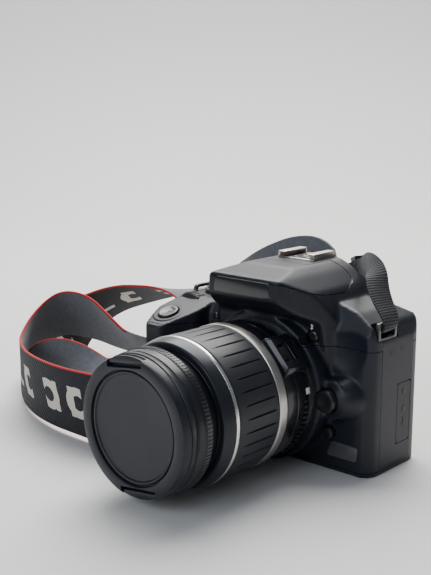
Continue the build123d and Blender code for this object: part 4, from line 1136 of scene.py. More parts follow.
@dataclass
class CameraBody:
    """Moulded shells of the body, cut from one skin along their seams."""

    wall: float = 1.5
    seam: float = 0.15
    seam_y: float = -6.5
    seam_z: float = 59.6
    base_z: float = 2.2
    panel_x: float = 54.3

    def build(self) -> None:
        """Makes every shell, the flash head and both small doors."""
        forms = BodyForms()
        skin = forms.skin()
        shell = Bench.run(skin.copy(), [("SOLIDIFY", {"thickness": self.wall, "offset": -1.0})])
        for liner in self.liners(forms):
            shell = Bench.cut(shell, Bench.cut(skin.copy(), liner, "INTERSECT"), "UNION")
        for hole in self.holes():
            shell = Bench.cut(shell, hole)
        flap_line = Bench.rounded([(7.5, 12.0), (18.5, 12.0), (18.5, 41.0), (7.5, 41.0)], 1.6, 4)
        flap = Bench.cut(skin.copy(), Bench.prism(flap_line, "X", 55.3, 60), "INTERSECT")
        Bench.finish("terminal_flap", flap, "terminal_cover", "rubber", PANEL, replaced=["terminal_cover"])
        self.flash_head(forms, shell)
        shell = Bench.cut(shell, forms.lid_zone(-0.35))
        shell = Bench.cut(shell, Bench.block((-15.6, -35.0, 83.2), (15.6, -25.6, 96)))
        shell = self.door("card_hatch", "card_door", shell, ((-75, 10.65, 18.05), (-66.0, 18.55, 49.95)))
        shell = self.door("battery_hatch", "battery_door", shell, ((-66.35, -25.15, -3), (-49.05, 12.35, 3.2)))
        self.shells(shell)

    def door(self, name: str, node: str, shell: bpy.types.Mesh, box: tuple[Point, Point]) -> bpy.types.Mesh:
        """Cuts a door out of the shell, hands it over, and returns the shell with its hole."""
        low, high = (Vector(v) for v in box)
        inner = Bench.block(low + Vector((0.3, 0.3, 0.3)), high - Vector((0.3, 0.3, 0.3)))
        leaf = Bench.cut(shell.copy(), inner, "INTERSECT")
        Bench.finish(name, leaf, node, "body_plastic", BODY, replaced=[node])
        return Bench.cut(shell, Bench.block(low, high))

    def shells(self, shell: bpy.types.Mesh) -> None:
        """Parts the shell along its seams."""
        s, far = self.seam, 200.0
        panel_line = Bench.rounded([(self.seam_y, 3.0), (19.5, 3.0), (19.5, 64.0), (self.seam_y, 64.0)], 2.4, 4)
        inner_line = Bench.rounded([(self.seam_y + s, 3.0 + s), (19.5 - s, 3.0 + s), (19.5 - s, 64.0 - s),
                                    (self.seam_y + s, 64.0 - s)], 2.4, 4)
        panel = Bench.cut(shell.copy(), Bench.prism(inner_line, "X", self.panel_x, far), "INTERSECT")
        Bench.finish("side_panel_shell", panel, "camera", "body_plastic", PANEL, replaced=["side_panel"])
        rest = Bench.cut(shell, Bench.prism(panel_line, "X", self.panel_x - s, far))
        zones = {"front_shell": ((-far, -far, self.base_z + s), (far, self.seam_y - s, self.seam_z - s)),
                 "rear_shell": ((-far, self.seam_y + s, self.base_z + s), (far, far, self.seam_z - s)),
                 "top_cover": ((-far, -far, self.seam_z + s), (far, far, far)),
                 "base_plate": ((-far, -far, -5.0), (far, far, self.base_z - s))}
        for node, (low, high) in zones.items():
            patch = Bench.cut(rest.copy(), Bench.block(low, high), "INTERSECT")
            Bench.finish(f"{node}_skin", patch, "camera", "body_plastic", BODY, replaced=[node])

    def flash_head(self, forms: BodyForms, shell: bpy.types.Mesh) -> None:
        """Lid, lamp housing and arms of the pop-up flash."""
        lid = Bench.cut(shell.copy(), forms.lid_zone(0.0), "INTERSECT")
        y, z = forms.pivot
        Bench.finish("flash_lid", lid, "flash_head", "body_plastic", BODY, replaced=["flash_head"])
        hump = forms.hump()
        housing = Bench.cut(Bench.block((-15, -34.3, 84), (15, -26, 89.9), 0.8), Bench.block(
            (-12.8, -36, 84.9), (12.8, -33.6, 89.2)))
        Bench.finish("flash_housing", housing, "flash_head", "body_plastic", DARK)
        ribs = [Bench.block((-12.6, -34.1, 85.0), (12.6, -33.7, 89.1), 0.1)]
        ribs += [Bench.block((-12.4, -34.35, 85.2 + k * 0.62), (12.4, -34.0, 85.5 + k * 0.62), 0.08)
                 for k in range(6)]
        Bench.finish("flash_lamp_window", Bench.join(ribs), "flash_head", "gloss_black", LAMP)
        arms = [Bench.block(((15.2 if k > 0 else -17.8), -27, 87.4), ((17.8 if k > 0 else -15.2), y + 1.5, 91.6), 0.5)
                for k in (-1, 1)]
        arms += [Bench.rod(1.0, (min(k * 9.4, k * 18), y, z), (max(k * 9.4, k * 18), y, z), 24) for k in (-1, 1)]
        fitted = [Bench.cut(arm, hump.copy(), "INTERSECT") for arm in arms]
        Bench.finish("flash_arms", Bench.join(fitted), "flash_head", "body_plastic", DARK)

    @staticmethod
    def liners(forms: BodyForms) -> list[bpy.types.Mesh]:
        """Blocks kept solid inside the skin, behind pockets that would open into the hollow."""
        well = Bench.cut(forms.lid_zone(-1.6), forms.lid_zone(-0.35))
        pan = Bench.cut(Bench.block((-16.4, -35.9, 82.2), (16.4, -24.8, 90)),
                        Bench.block((-15.6, -35.0, 83.2), (15.6, -25.6, 96)))
        lugs = [Bench.block((50.0, -11.5, 62.6), (60, 8.5, 90)), Bench.block((-76, 0.0, 62.6), (-63.2, 20.0, 90))]
        return [well, pan, *lugs, Bench.block((53.6, 5.6, 10.2), (55.0, 19.0, 42.6))]

    def holes(self) -> list[bpy.types.Mesh]:
        """Everything cut through the skin."""
        cuts = [Bench.rod(27.2, (0, -40, LENS_AXIS_Z), (0, -8, LENS_AXIS_Z), 128)]
        rear = [(b.x, b.z, b.radius) for b in REAR_BUTTONS] + [(*PAD, PAD_HOLE)]
        front = [(FLASH_BUTTON.x, FLASH_BUTTON.z, FLASH_BUTTON.radius), (RELEASE_X, LENS_AXIS_Z, 5.2),
                 (PREVIEW_BUTTON.x, PREVIEW_BUTTON.z, PREVIEW_BUTTON.radius)]
        cuts += [Bench.rod(r + 0.35, (x, 21, z), (x, 40, z), 64) for x, z, r in rear]
        cuts += [Bench.rod(r + 0.4, (x, -40, z), (x, -9, z), 64) for x, z, r in front]
        cuts += [Bench.block((-17.0, 22, 7.7), (43.0, 40, 52.7)), Bench.block((-8, 15, 69), (8, 40, 79)),
                 Bench.rod(9.2, (MAIN_DIAL[0], -13.3, MAIN_DIAL[1]), (MAIN_DIAL[0], -5.9, MAIN_DIAL[1]), 96),
                 Bench.rod(2.1, (*MODE_DIAL, 60), (*MODE_DIAL, 90)),
                 Bench.rod(2.55, (*ISO_BUTTON, 60), (*ISO_BUTTON, 90)),
                 Bench.rod(3.35, (DIOPTER[0], 18, DIOPTER[1]), (DIOPTER[0], 40, DIOPTER[1])),
                 Bench.rod(6.5, (0, 0, -2), (0, 0, 8)),
                 Bench.block((51.5, -10.1, 64), (61.5, 7.1, 90)), Bench.block((-74.6, 1.4, 64), (-64.6, 18.6, 90)),
                 Bench.block((55.0, 7.2, 11.7), (60, 18.8, 41.3))]
        cuts += [Bench.rod(1.6, (52, y, z), (60, y, z), 32) for y, z in ((1.0, 57.6), (10.5, 58.0))]
        cuts += [Bench.rod(1.6, (x, y, -2), (x, y, 5), 32) for x, y in ((-36, 18), (36, 18), (46, -6), (-26, -6))]
        cuts += [Bench.block((52, 13 - a, z - b), (57, 13 + a, z + b), 0.3)
                 for z, a, b in ((34.5, 3.0, 4.5), (26.5, 3.5, 2.4), (18.5, 3.5, 1.6))]
        slope = BodyForms.grip_slope
        normal = Vector((0, -math.sin(slope), math.cos(slope)))
        seat = Vector(SHUTTER_SEAT)
        cuts.append(Bench.rod(5.75, seat - normal * 8, seat + normal * 8, 64))
        return cuts


# ---- Lens ----------------------------------------------------------------------------
@dataclass
class ZoomLens:
    """Standard zoom: mount end, zoom ring, sliding barrel and focus ring."""

    barrel_radius: float = 33.5
    barrel_front: float = -46.1
    flange: float = -27.0
    zoom_radius: float = 33.9
    zoom_front: float = -80.5
    grooves: int = 36
    knurls: int = 120
    switch_turn: float = math.radians(42.0)

    def build(self) -> None:
        """Makes every part of the lens."""
        self.mount_end()
        self.zoom_ring()
        self.sliding_barrel()
        self.focus_ring()

    @staticmethod
    def ring(profile: Sequence[Flat], rounding: float = 0.3, segments: int = 160) -> bpy.types.Mesh:
        """Ring turned from an outline with rounded corners."""
        return Bench.mesh(Bench.turned(Bench.rounded(profile, rounding), segments))

    def about(self, turn: float) -> Matrix:
        """Turns about the lens axis, clockwise from the front."""
        lift = Matrix.Translation((0, 0, LENS_AXIS_Z))
        return lift @ Matrix.Rotation(-turn, 4, "Y") @ Matrix.Translation((0, 0, -LENS_AXIS_Z))

    def mount_end(self) -> None:
        """Fixed barrel with its focus switch housing, index mark and fine ribs."""
        r, front, back = self.barrel_radius, self.barrel_front, self.flange
        outer = [(front, 29.45), (front, r - 0.3), (front + 0.7, r), (-38.5, r), (-38.2, r - 0.25), (-37.9, r),
                 (-32.0, r - 0.3), (-29.2, r - 1.2), (back, r - 1.9), (back, 24.6), (-30, 24.6), (-30, 29.45)]
        barrel = self.ring(outer, 0.25, 192)
        mid = LENS_AXIS_Z
        corners = ((29, -44.6, 10.4), (29, -29.0, 10.4), (34.0, -44.6, 9.8), (33.6, -29.0, 9.6), (36.0, -43.6, 8.0),
                   (35.6, -30.2, 8.0))
        housing = Bench.hull([(x, y, mid + side * half) for x, y, half in corners for side in (-1, 1)])
        housing = Bench.soften(housing, 0.7, degrees=20)
        bore = Bench.rod(29.4, (0, -60, mid), (0, -29.9, mid), 128)
        throat = Bench.rod(25.0, (0, -60, mid), (0, 0, mid), 128)
        housing = Bench.cut(Bench.cut(housing, bore), throat)
        pocket = Bench.block((33.9, -42.6, mid - 4.6), (40, -33.6, mid + 4.6), 0.8)
        housing = Bench.moved(Bench.cut(housing, pocket), self.about(self.switch_turn))
        barrel = Bench.cut(barrel, housing, "UNION")
        guide = self.ring([(-77.0, 29.45), (-77.0, 30.75), (-45.9, 30.75), (-45.9, 29.45)], 0.1)
        plate = self.ring([(-25.4, 10.1), (-25.4, 24.9), (-23.6, 24.9), (-23.6, 10.1)], 0.1)
        claws = self.ring([(back + 0.02, 24.6), (back + 0.02, 26.6), (-23.7, 26.6), (-23.7, 24.6)], 0.1)
        Bench.finish("lens_barrel_body", barrel, "camera", "gloss_black", LENS_GLOSS, replaced=["lens_barrel"])
        Bench.finish("lens_guide_tube", Bench.join([guide, plate, claws]), "camera", "gloss_black", DARK)
        ribs = []
        for k in range(13):
            rib = Bench.block((33.0, -33.9, mid - 0.42), (34.0, -30.2, mid + 0.42), 0.2, 2)
            ribs.append(Bench.moved(rib, self.about(math.radians(2 - 4.4 * k))))
        Bench.finish("lens_barrel_ribs", Bench.join(ribs), "camera", "gloss_black", LENS_SATIN)
        mark = Bench.moved(Bench.block((33.0, -31.6, mid - 1.4), (33.52, -28.9, mid + 1.4), 0.1, 2),
                           Matrix.Translation((-0.35, 0, 0)))
        Bench.finish("lens_index_mark", Bench.moved(mark, self.about(math.radians(9))), "camera", "gloss_black",
                     WHITE_INK)
        slider = [Bench.block((33.78, -41.6, mid - 2.9), (35.6, -38.4, mid + 2.9), 0.35)]
        for y in (-41.3 + k * 0.75 for k in range(4)):
            slider.append(Bench.block((35.4, y, mid - 2.5), (36.2, y + 0.35, mid + 2.5), 0.12, 2))
        moved = [Bench.moved(m, self.about(self.switch_turn)) for m in slider]
        Bench.finish("focus_switch_slider", Bench.join(moved), "focus_switch", "button_plastic", BUTTON,
                     replaced=["focus_switch"])

    def zoom_ring(self) -> None:
        """Grey collar, bright trim, ribbed rubber and champagne band."""
        r, front, rear = self.zoom_radius, self.zoom_front, self.barrel_front - 0.3
        collar = self.ring([(front - 6, 29.55), (front - 6, 31.9), (front - 5.3, 32.5), (front - 3.2, 33.1),
                            (front - 0.2, r), (front - 0.05, r - 0.6), (front - 0.05, 30.9), (front - 4.6, 30.9),
                            (front - 4.6, 29.55)], 0.3, 192)
        core = self.ring([(front, 30.9), (front, 32.35), (rear - 5.3, 32.35), (rear - 5.3, 30.9)], 0.05)
        Bench.finish("zoom_collar", Bench.join([collar, core]), "zoom_ring", "grey_collar", COLLAR,
                     replaced=["zoom_ring"])
        trim = self.ring([(front + 0.02, 32.4), (front + 0.02, r - 0.15), (front + 0.5, r + 0.1),
                          (front + 1.6, r + 0.1), (front + 2.2, r - 0.2), (front + 2.2, 32.4)], 0.3, 192)
        Bench.finish("zoom_trim", trim, "zoom_ring", "bright_trim", TRIM, replaced=["zoom_trim_ring"])
        band = self.ring([(rear - 5.3, 30.9), (rear - 5.3, 33.7), (rear - 4.9, 34.2), (rear - 0.5, 34.2),
                          (rear, 33.8), (rear, 30.9)], 0.25, 192)
        Bench.finish("zoom_band", band, "zoom_ring", "bright_trim", BAND_METAL)
        rubber = self.ring([(front + 2.3, 32.4), (front + 2.3, r - 0.5), (front + 2.9, r), (-58.5, r + 0.02),
                            (rear - 6.2, r), (rear - 5.35, r - 0.6), (rear - 5.35, 32.4)], 0.3, 216)
        slots = []
        low, high = front + 4.6, rear - 7.0
        for k in range(self.grooves):
            z = LENS_AXIS_Z
            slot = Bench.hull([(r + 0.8, low, z - 0.1), (r + 0.8, low, z + 0.1), (r - 0.75, low + 3, z),
                               (r + 0.8, low + 6, z - 0.75), (r + 0.8, low + 6, z + 0.75), (r - 0.8, high - 2.4, z),
                               (r + 0.8, high - 3, z - 1.05), (r + 0.8, high - 3, z + 1.05),
                               (r + 0.8, high, z - 0.55), (r + 0.8, high, z + 0.55), (r - 0.2, high, z)])
            slots.append(Bench.moved(slot, self.about(math.radians(10 * k + 4))))
        rubber = Bench.cut(rubber, Bench.join(slots))
        Bench.finish("zoom_rubber_grip", rubber, "zoom_ring", "rubber", GRIP_RUBBER, replaced=["zoom_grip"])

    def sliding_barrel(self) -> None:
        """Barrel that slides in and out, with the seat of the front glass."""
        barrel = self.ring([(-101.1, 27.45), (-101.1, 28.95), (-93.2, 28.95), (-93.0, 28.6), (-86.0, 28.6),
                            (-85.8, 28.95), (-52, 28.95), (-52, 27.45)], 0.1)
        holder = self.ring([(-101.0, 27.4), (-92.4, 27.4), (-92.4, 25.65), (-99.0, 25.65), (-100.8, 26.9)], 0.1)
        Bench.finish("inner_barrel_tube", Bench.join([barrel, holder]), "inner_barrel", "lens_plastic", LENS_SATIN,
                     replaced=["inner_barrel"])

    def focus_ring(self) -> None:
        """Knurled focus ring, hood bayonet with its lugs, and filter thread."""
        lands = [(-101.5, 29.1), (-101.5, 31.2), (-101.1, 31.55), (-97.1, 31.55), (-96.8, 31.9), (-93.3, 31.9),
                 (-93.0, 31.5), (-93.0, 29.1)]
        ring = self.ring(lands, 0.25, 192)
        knurls = []
        for k in range(self.knurls):
            tooth = Bench.block((31.55, -96.4, LENS_AXIS_Z - 0.38), (32.1, -93.5, LENS_AXIS_Z + 0.38))
            knurls.append(Bench.moved(tooth, self.about(2 * math.pi * k / self.knurls)))
        Bench.finish("focus_ring_body", ring, "focus_ring", "lens_plastic", LENS_SATIN, replaced=["focus_ring"])
        Bench.finish("focus_knurl", Bench.join(knurls), "focus_ring", "lens_plastic", KNURL)
        lugs = []
        for turn in (20, 140, 260):
            wedge = self.ring([(-100.9, 31.3), (-100.9, 31.75), (-98.3, 31.75), (-98.3, 31.3)], 0.12, 192)
            sector = Bench.moved(Bench.hull([(0, y, LENS_AXIS_Z) for y in (-103, -97)] + [
                (60 * math.cos(a), y, LENS_AXIS_Z + 60 * math.sin(a)) for y in (-103, -97)
                for a in (math.radians(-28), 0.0, math.radians(28))]), self.about(math.radians(turn)))
            lugs.append(Bench.cut(wedge, sector, "INTERSECT"))
        Bench.finish("hood_bayonet_lugs", Bench.join(lugs), "focus_ring", "lens_plastic", LENS_SATIN)
        thread: list[Flat] = [(-104.35, 27.9), (-104.35, 30.9), (-104.0, 31.35), (-101.9, 31.35), (-101.55, 31.1),
                              (-101.55, 27.7)]
        thread += [(y, 27.65 + 0.2 * (k % 2)) for k, y in enumerate(-101.9 - 0.3 * n for n in range(8))]
        filter_ring = Bench.mesh(Bench.turned(thread, 160))
        Bench.finish("filter_ring", filter_ring, "focus_ring", "lens_plastic", LENS_SATIN)
        self.glass()

    def glass(self) -> None:
        """Front and rear glass, each a domed lens."""
        front = [(-92.6, 0.0), (-92.6, 24.0), (-93.4, 25.5), (-98.4, 25.5)]
        dome = [(-98.4 - 1.9 * (1 - (k / 8) ** 2), 25.2 * k / 8) for k in range(8, -1, -1)]
        lens = Bench.mesh(Bench.turned(front + dome, 128))
        Bench.finish("front_glass", lens, "focus_ring", "glass", GLASS, replaced=["front_element"])
        rear = [(-31, 0.0)] + [(-31 + 0.06 * k, 9.9 * k / 6) for k in range(1, 7)] + [(-24.4, 9.9)]
        rear += [(-24.4 + 0.7 * (1 - (k / 6) ** 2), 9.9 * k / 6) for k in range(5, -1, -1)]
        Bench.finish("rear_glass", Bench.mesh(Bench.turned(rear, 96)), "camera", "glass", GLASS,
                     replaced=["rear_element"])


# ---- Lens cap ------------------------------------------------------------------------
@dataclass
class LensCap:
    """Pinch cap: sunk disc with a raised ring, and two sprung latches."""

    front: float = -109.2
    rear: float = -104.7
    radius: float = 31.0
    disc_radius: float = 24.9
    turn: float = math.radians(8.0)
    latch_half: float = 10.5

    def build(self) -> None:
        """Makes the cap and both latches."""
        front, r, d = self.front, self.radius, self.disc_radius
        outline = [(front + 1.5, 0.0), (front + 1.5, d - 3.4), (front + 1.35, d - 2.2), (front + 0.75, d - 1.7),
                   (front + 0.75, d - 0.9), (front + 1.5, d - 0.3), (front + 1.5, d), (front + 0.25, d + 0.35),
                   (front, d + 0.9), (front + 0.05, r - 1.6), (front + 0.35, r - 0.6), (front + 1.2, r),
                   (self.rear, r), (self.rear, 27.1), (self.rear + 2.0, 27.1), (self.rear + 2.0, d + 0.2),
                   (front + 2.7, d - 0.2), (front + 2.7, 0.0)]
        cap = Bench.mesh(Bench.turned(outline, 192))
        tilt = ZoomLens().about(self.turn)
        for sign in (1, -1):
            low, high = sorted((sign * (d + 0.9), sign * (r + 1)))
            window = Bench.block((-self.latch_half, front - 1, LENS_AXIS_Z + low),
                                 (self.latch_half, self.rear - 0.9, LENS_AXIS_Z + high), 0.4)
            cap = Bench.cut(cap, Bench.moved(window, tilt))
        Bench.finish("cap_body", cap, "lens_cap", "lens_plastic", CAP_MATT, replaced=["lens_cap"])
        for name, sign in (("cap_latch_upper", 1), ("cap_latch_lower", -1)):
            self.latch(name, sign, tilt)

    def latch(self, name: str, sign: int, tilt: Matrix) -> None:
        """Makes one latch with its finger ribs."""
        low, high = sorted((sign * (self.disc_radius + 2.75), sign * 60))
        bar = Bench.rod(self.radius - 0.3, (0, self.front + 1.2, LENS_AXIS_Z), (0, self.rear - 1.2, LENS_AXIS_Z),
                        160, 0.3)
        bound = Bench.block((-self.latch_half + 0.4, -200, LENS_AXIS_Z + low),
                            (self.latch_half - 0.4, 0, LENS_AXIS_Z + high))
        body = Bench.cut(bar, bound, "INTERSECT")
        for y in (self.front + 1.95 + 0.7 * k for k in range(2)):
            groove = Bench.cut(Bench.rod(self.radius + 2, (0, y, LENS_AXIS_Z), (0, y + 0.28, LENS_AXIS_Z), 128),
                               Bench.rod(self.radius - 0.75, (0, y - 1, LENS_AXIS_Z), (0, y + 1, LENS_AXIS_Z), 128))
            body = Bench.cut(body, groove)
        Bench.finish(f"{name}_bar", Bench.moved(body, tilt), name, "lens_plastic", CAP_RIM, replaced=[name])


# ---- Controls and fittings -----------------------------------------------------------
@dataclass
class Controls:
    """Buttons, dials, shoe, lugs, eyecup, screen and printed marks."""

    back: float = 28.0
    front: float = -15.0
    bolt: tuple[Flat, ...] = ((0.3, 3.0), (-1.1, 0.1), (-0.1, 0.1), (-0.6, -1.9), (-1.1, -1.9), (0.1, -3.2),
                              (0.9, -1.7), (0.35, -1.75), (1.1, 0.9), (0.2, 0.9), (1.0, 3.0))

    def build(self) -> None:
        """Makes every control and fitting."""
        self.push_buttons()
        self.top_dials()
        self.rear_fittings()
        self.hot_shoe()
        self.lugs()
        self.marks()

    @staticmethod
    def facing(way: Point) -> Matrix:
        """Turns a part that stands along the lens axis so that it stands along a direction."""
        return Vector(way).to_track_quat("Y", "Z").to_matrix().to_4x4()

    @staticmethod
    def knob(profile: Sequence[Flat], place: Point, way: Point, segments: int = 64) -> bpy.types.Mesh:
        """Turned part: profile of (height, radius) raised from a place along a direction."""
        mesh = Bench.mesh(Bench.turned(Bench.rounded(profile, 0.25), segments, 0.0))
        return Bench.moved(mesh, Matrix.Translation(place) @ Controls.facing(way))

    @staticmethod
    def teeth(count: int, radius: float, size: Point, place: Point, way: Point) -> bpy.types.Mesh:
        """Knurl teeth around a direction; size is (height, width, depth)."""
        turn = Controls.facing(way)
        made = []
        for k in range(count):
            block = Bench.block((radius - size[2], 0.0, -size[1] / 2), (radius + 0.28, size[0], size[1] / 2), 0.12, 1)
            spin = Matrix.Rotation(2 * math.pi * k / count, 4, "Y")
            made.append(Bench.moved(block, Matrix.Translation(place) @ turn @ spin))
        return Bench.join(made)

    def push_buttons(self) -> None:
        """Round buttons of the front and the back."""
        for item in (*REAR_BUTTONS, SET_BUTTON):
            self.press(item, (item.x, self.back, item.z), (0, 1, 0))
            if item.mark:
                drawn = [(item.x + a * 0.8, item.z + 4.8 + b * 0.8) for a, b in item.mark]
                Bench.finish(f"{item.node}_icon", Bench.prism(drawn, "Y", self.back - 0.05, self.back + 0.06),
                             "camera", "body_plastic", WHITE_INK)
        for item in (FLASH_BUTTON, PREVIEW_BUTTON):
            self.press(item, (item.x, self.front, item.z), (0, -1, 0))
        release = [(-6.0, 0.0), (-6.0, 5.2), (2.3, 5.2), (2.9, 4.7), (3.0, 3.6), (2.7, 1.8), (2.6, 0.0)]
        Bench.finish("release_cap", self.knob(release, (RELEASE_X, -23.0, LENS_AXIS_Z), (0, -1, 0), 96),
                     "lens_release_button", "button_plastic", BUTTON, replaced=["lens_release_button"])
        pad = [(-2.4, 4.35), (-2.4, 11.0), (0.45, 11.0), (0.9, 10.4), (0.6, 7.6), (0.55, 5.2), (0.85, 4.7), (0.8, 4.35)]
        x, z = PAD
        disc = self.knob(pad, (x, self.back, z), (0, 1, 0), 96)
        for k in range(4):
            a = math.radians(45 + 90 * k)
            out, side = Vector((math.cos(a), 0, math.sin(a))), Vector((-math.sin(a), 0, math.cos(a)))
            low = Vector((x, self.back + 0.55, z)) + out * 5.6
            groove = Bench.hull([tuple(low + out * u + side * v + Vector((0, w, 0)))
                                 for u in (0, 6.2) for v, w in ((-0.12, 0), (0.12, 0), (-0.5, 1.2), (0.5, 1.2))])
            disc = Bench.cut(disc, groove)
        Bench.finish("pad_disc", disc, "cross_key_pad", "button_plastic", BUTTON, replaced=["cross_key_pad"])
        arrows = []
        for k in range(4):
            a = math.radians(90 * k)
            tip = [(8.9, 0.0), (7.5, 1.1), (7.5, -1.1)]
            arrows.append(Bench.prism([(x + u * math.cos(a) - v * math.sin(a), z + u * math.sin(a) + v * math.cos(a))
                                       for u, v in tip], "Y", self.back + 0.5, self.back + 0.8))
        Bench.finish("pad_arrows", Bench.join(arrows), "cross_key_pad", "button_plastic", WHITE_INK)

    def press(self, item: Button, place: Point, way: Point) -> None:
        """Hands over one round button with a domed face."""
        r, tip = item.radius, item.tip
        line = [(-2.6, 0.0), (-2.6, r), (tip - item.dome - 0.2, r), (tip - item.dome, r - 0.15), (tip - 0.1, r * 0.7),
                (tip, r * 0.35), (tip, 0.0)]
        Bench.finish(f"{item.node}_cap", self.knob(line, place, way, 48), item.node, "button_plastic", BUTTON,
                     replaced=[item.node])

    def top_dials(self) -> None:
        """Shutter button, both dials, power switch, ISO button and diopter knob."""
        up = (0.0, -math.sin(BodyForms.grip_slope), math.cos(BodyForms.grip_slope))
        cap = [(-2.2, 0.0), (-2.2, 5.35), (0.6, 5.35), (1.05, 4.9), (1.1, 4.3), (0.75, 2.4), (0.6, 0.0)]
        Bench.finish("shutter_cap", self.knob(cap, SHUTTER_SEAT, up, 96), "shutter_button", "button_plastic", BUTTON,
                     replaced=["shutter_button"])
        ring = [(-2.6, 5.8), (-0.15, 5.8), (0.1, 6.1), (0.1, 7.7), (-0.25, 8.5), (-2.6, 10.2)]
        Bench.finish("shutter_collar", self.knob(ring, SHUTTER_SEAT, up, 96), "camera", "button_plastic", PANEL)
        x, y = MODE_DIAL
        base = 70.8
        dial = [(0, 2.1), (0, 9.0), (0.8, 9.15), (5.6, 9.15), (6.3, 8.9), (7.0, 8.2), (7.0, 7.6), (6.7, 7.0),
                (6.7, 0.0), (-3.0, 0.0), (-3.0, 1.9), (0, 1.9)]
        body = Bench.mesh(Bench.turned(dial, 96, 0.0))
        stand = self.facing((0, 0, 1))
        body = Bench.moved(body, Matrix.Translation((x, y, base)) @ stand)
        knurl = self.teeth(44, 9.1, (5.0, 0.62, 0.4), (x, y, base + 0.5), (0, 0, 1))
        Bench.finish("mode_dial_body", body, "mode_dial", "button_plastic", DIAL, replaced=["mode_dial"])
        Bench.finish("mode_dial_knurl", knurl, "mode_dial", "button_plastic", DIAL)
        marks = []
        for k in range(12):
            a = 2 * math.pi * k / 12
            mark = Bench.block((5.0, -0.35, base + 6.65), (6.5, 0.35, base + 6.78))
            if k % 3 == 0:
                mark = Bench.rod(0.62, (5.8, 0, base + 6.65), (5.8, 0, base + 6.78), 20)
            marks.append(Bench.moved(mark, Matrix.Translation((x, y, 0)) @ Matrix.Rotation(a, 4, "Z")))
        Bench.finish("mode_dial_marks", Bench.join(marks), "mode_dial", "button_plastic", WHITE_INK)
        ring = [(0, 9.85), (0, 11.5), (1.2, 11.5), (1.6, 11.1), (1.6, 9.85)]
        lever = Bench.hull([(10.9, -2.2, 0), (10.9, 2.2, 0), (13.4, -1.5, 0), (13.4, 1.5, 0), (10.9, -1.9, 1.9),
                            (10.9, 1.9, 1.9), (13.1, -1.2, 2.4), (13.1, 1.2, 2.4)])
        switch = Bench.join([Bench.moved(Bench.mesh(Bench.turned(ring, 96, 0.0)), stand), lever])
        Bench.finish("power_switch_ring", Bench.moved(switch, Matrix.Translation((x, y, base))), "power_switch",
                     "button_plastic", DIAL, replaced=["power_switch"])
        roller = [(-3.2, 0.0), (-3.2, 7.7), (-2.7, 8.2), (2.7, 8.2), (3.2, 7.7), (3.2, 0.0)]
        across, height = MAIN_DIAL
        wheel = self.knob(roller, (across, -9.6, height), (0, 1, 0), 96)
        axle = Bench.rod(1.2, (across, -14.4, height), (across, -4.8, height), 24)
        cogs = self.teeth(36, 8.3, (5.4, 0.7, 0.5), (across, -12.3, height), (0, 1, 0))
        Bench.finish("main_dial_wheel", Bench.join([wheel, axle]), "main_dial", "button_plastic", DIAL,
                     replaced=["main_dial"])
        Bench.finish("main_dial_teeth", cogs, "main_dial", "button_plastic", DIAL)
        small = [(-3.5, 0.0), (-3.5, 2.15), (0.3, 2.15), (0.7, 1.6), (0.6, 0.0)]
        Bench.finish("iso_cap", self.knob(small, (*ISO_BUTTON, 70.3), (0, 0, 1), 40), "iso_button", "button_plastic",
                     BUTTON, replaced=["iso_button"])
        knob = [(-5.5, 0.0), (-5.5, 2.75), (1.0, 2.75), (1.4, 2.3), (1.4, 0.0)]
        diopter = self.knob(knob, (DIOPTER[0], 28.0, DIOPTER[1]), (0, 1, 0), 48)
        Bench.finish("diopter_body", diopter, "diopter_knob", "button_plastic", DIAL, replaced=["diopter_knob"])
        ridges = self.teeth(18, 2.7, (2.6, 0.5, 0.3), (DIOPTER[0], 26.5, DIOPTER[1]), (0, 1, 0))
        Bench.finish("diopter_teeth", ridges, "diopter_knob", "button_plastic", DIAL)

    def rear_fittings(self) -> None:
        """Eyecup, screen and its surround."""
        outer = Bench.rounded([(-18, 62.5), (18, 62.5), (16.5, 85.5), (-16.5, 85.5)], 5.0, 6)
        inner = Bench.rounded([(-10, 67.5), (10, 67.5), (10, 80.5), (-10, 80.5)], 3.0, 6)
        cup = Bench.cut(Bench.prism(outer, "Y", 26.8, 34.4), Bench.prism(inner, "Y", 20, 40))
        cup = Bench.soften(cup, 1.3, 4)
        channel = Bench.cut(Bench.block((-30, 29.6, 50), (30, 30.5, 95)),
                            Bench.prism(Bench.rounded([(-17, 63.5), (17, 63.5), (15.6, 84.5), (-15.6, 84.5)], 4.4, 6),
                                        "Y", 20, 40))
        Bench.finish("eyecup_frame", Bench.cut(cup, channel), "camera", "rubber", SOFT_RUBBER, replaced=["eyecup"])
        tunnel = Bench.cut(Bench.block((-9.6, 19, 68.2), (9.6, 28.4, 79.8)), Bench.block((-8, 10, 69), (8, 40, 79)))
        Bench.finish("finder_tunnel", tunnel, "camera", "body_plastic", DARK)
        glass = Bench.block((-16.8, 26.2, 7.9), (42.8, 27.45, 52.5), 0.35)
        Bench.finish("screen_cover_glass", glass, "camera", "screen_glass", SCREEN, replaced=["rear_screen"])
        rim = Bench.cut(Bench.block((-17.6, 27.0, 7.1), (43.6, 28.35, 53.3), 0.4),
                        Bench.block((-15.8, 20, 8.9), (41.8, 40, 51.5)))
        Bench.finish("screen_surround", rim, "camera", "body_plastic", LENS_GLOSS)
        lit = Bench.block((-12.8, 27.3, 11.9), (38.8, 27.52, 48.5), 0.05, 1)
        Bench.finish("screen_panel", lit, "camera", "screen_glass", SCREEN_ON)

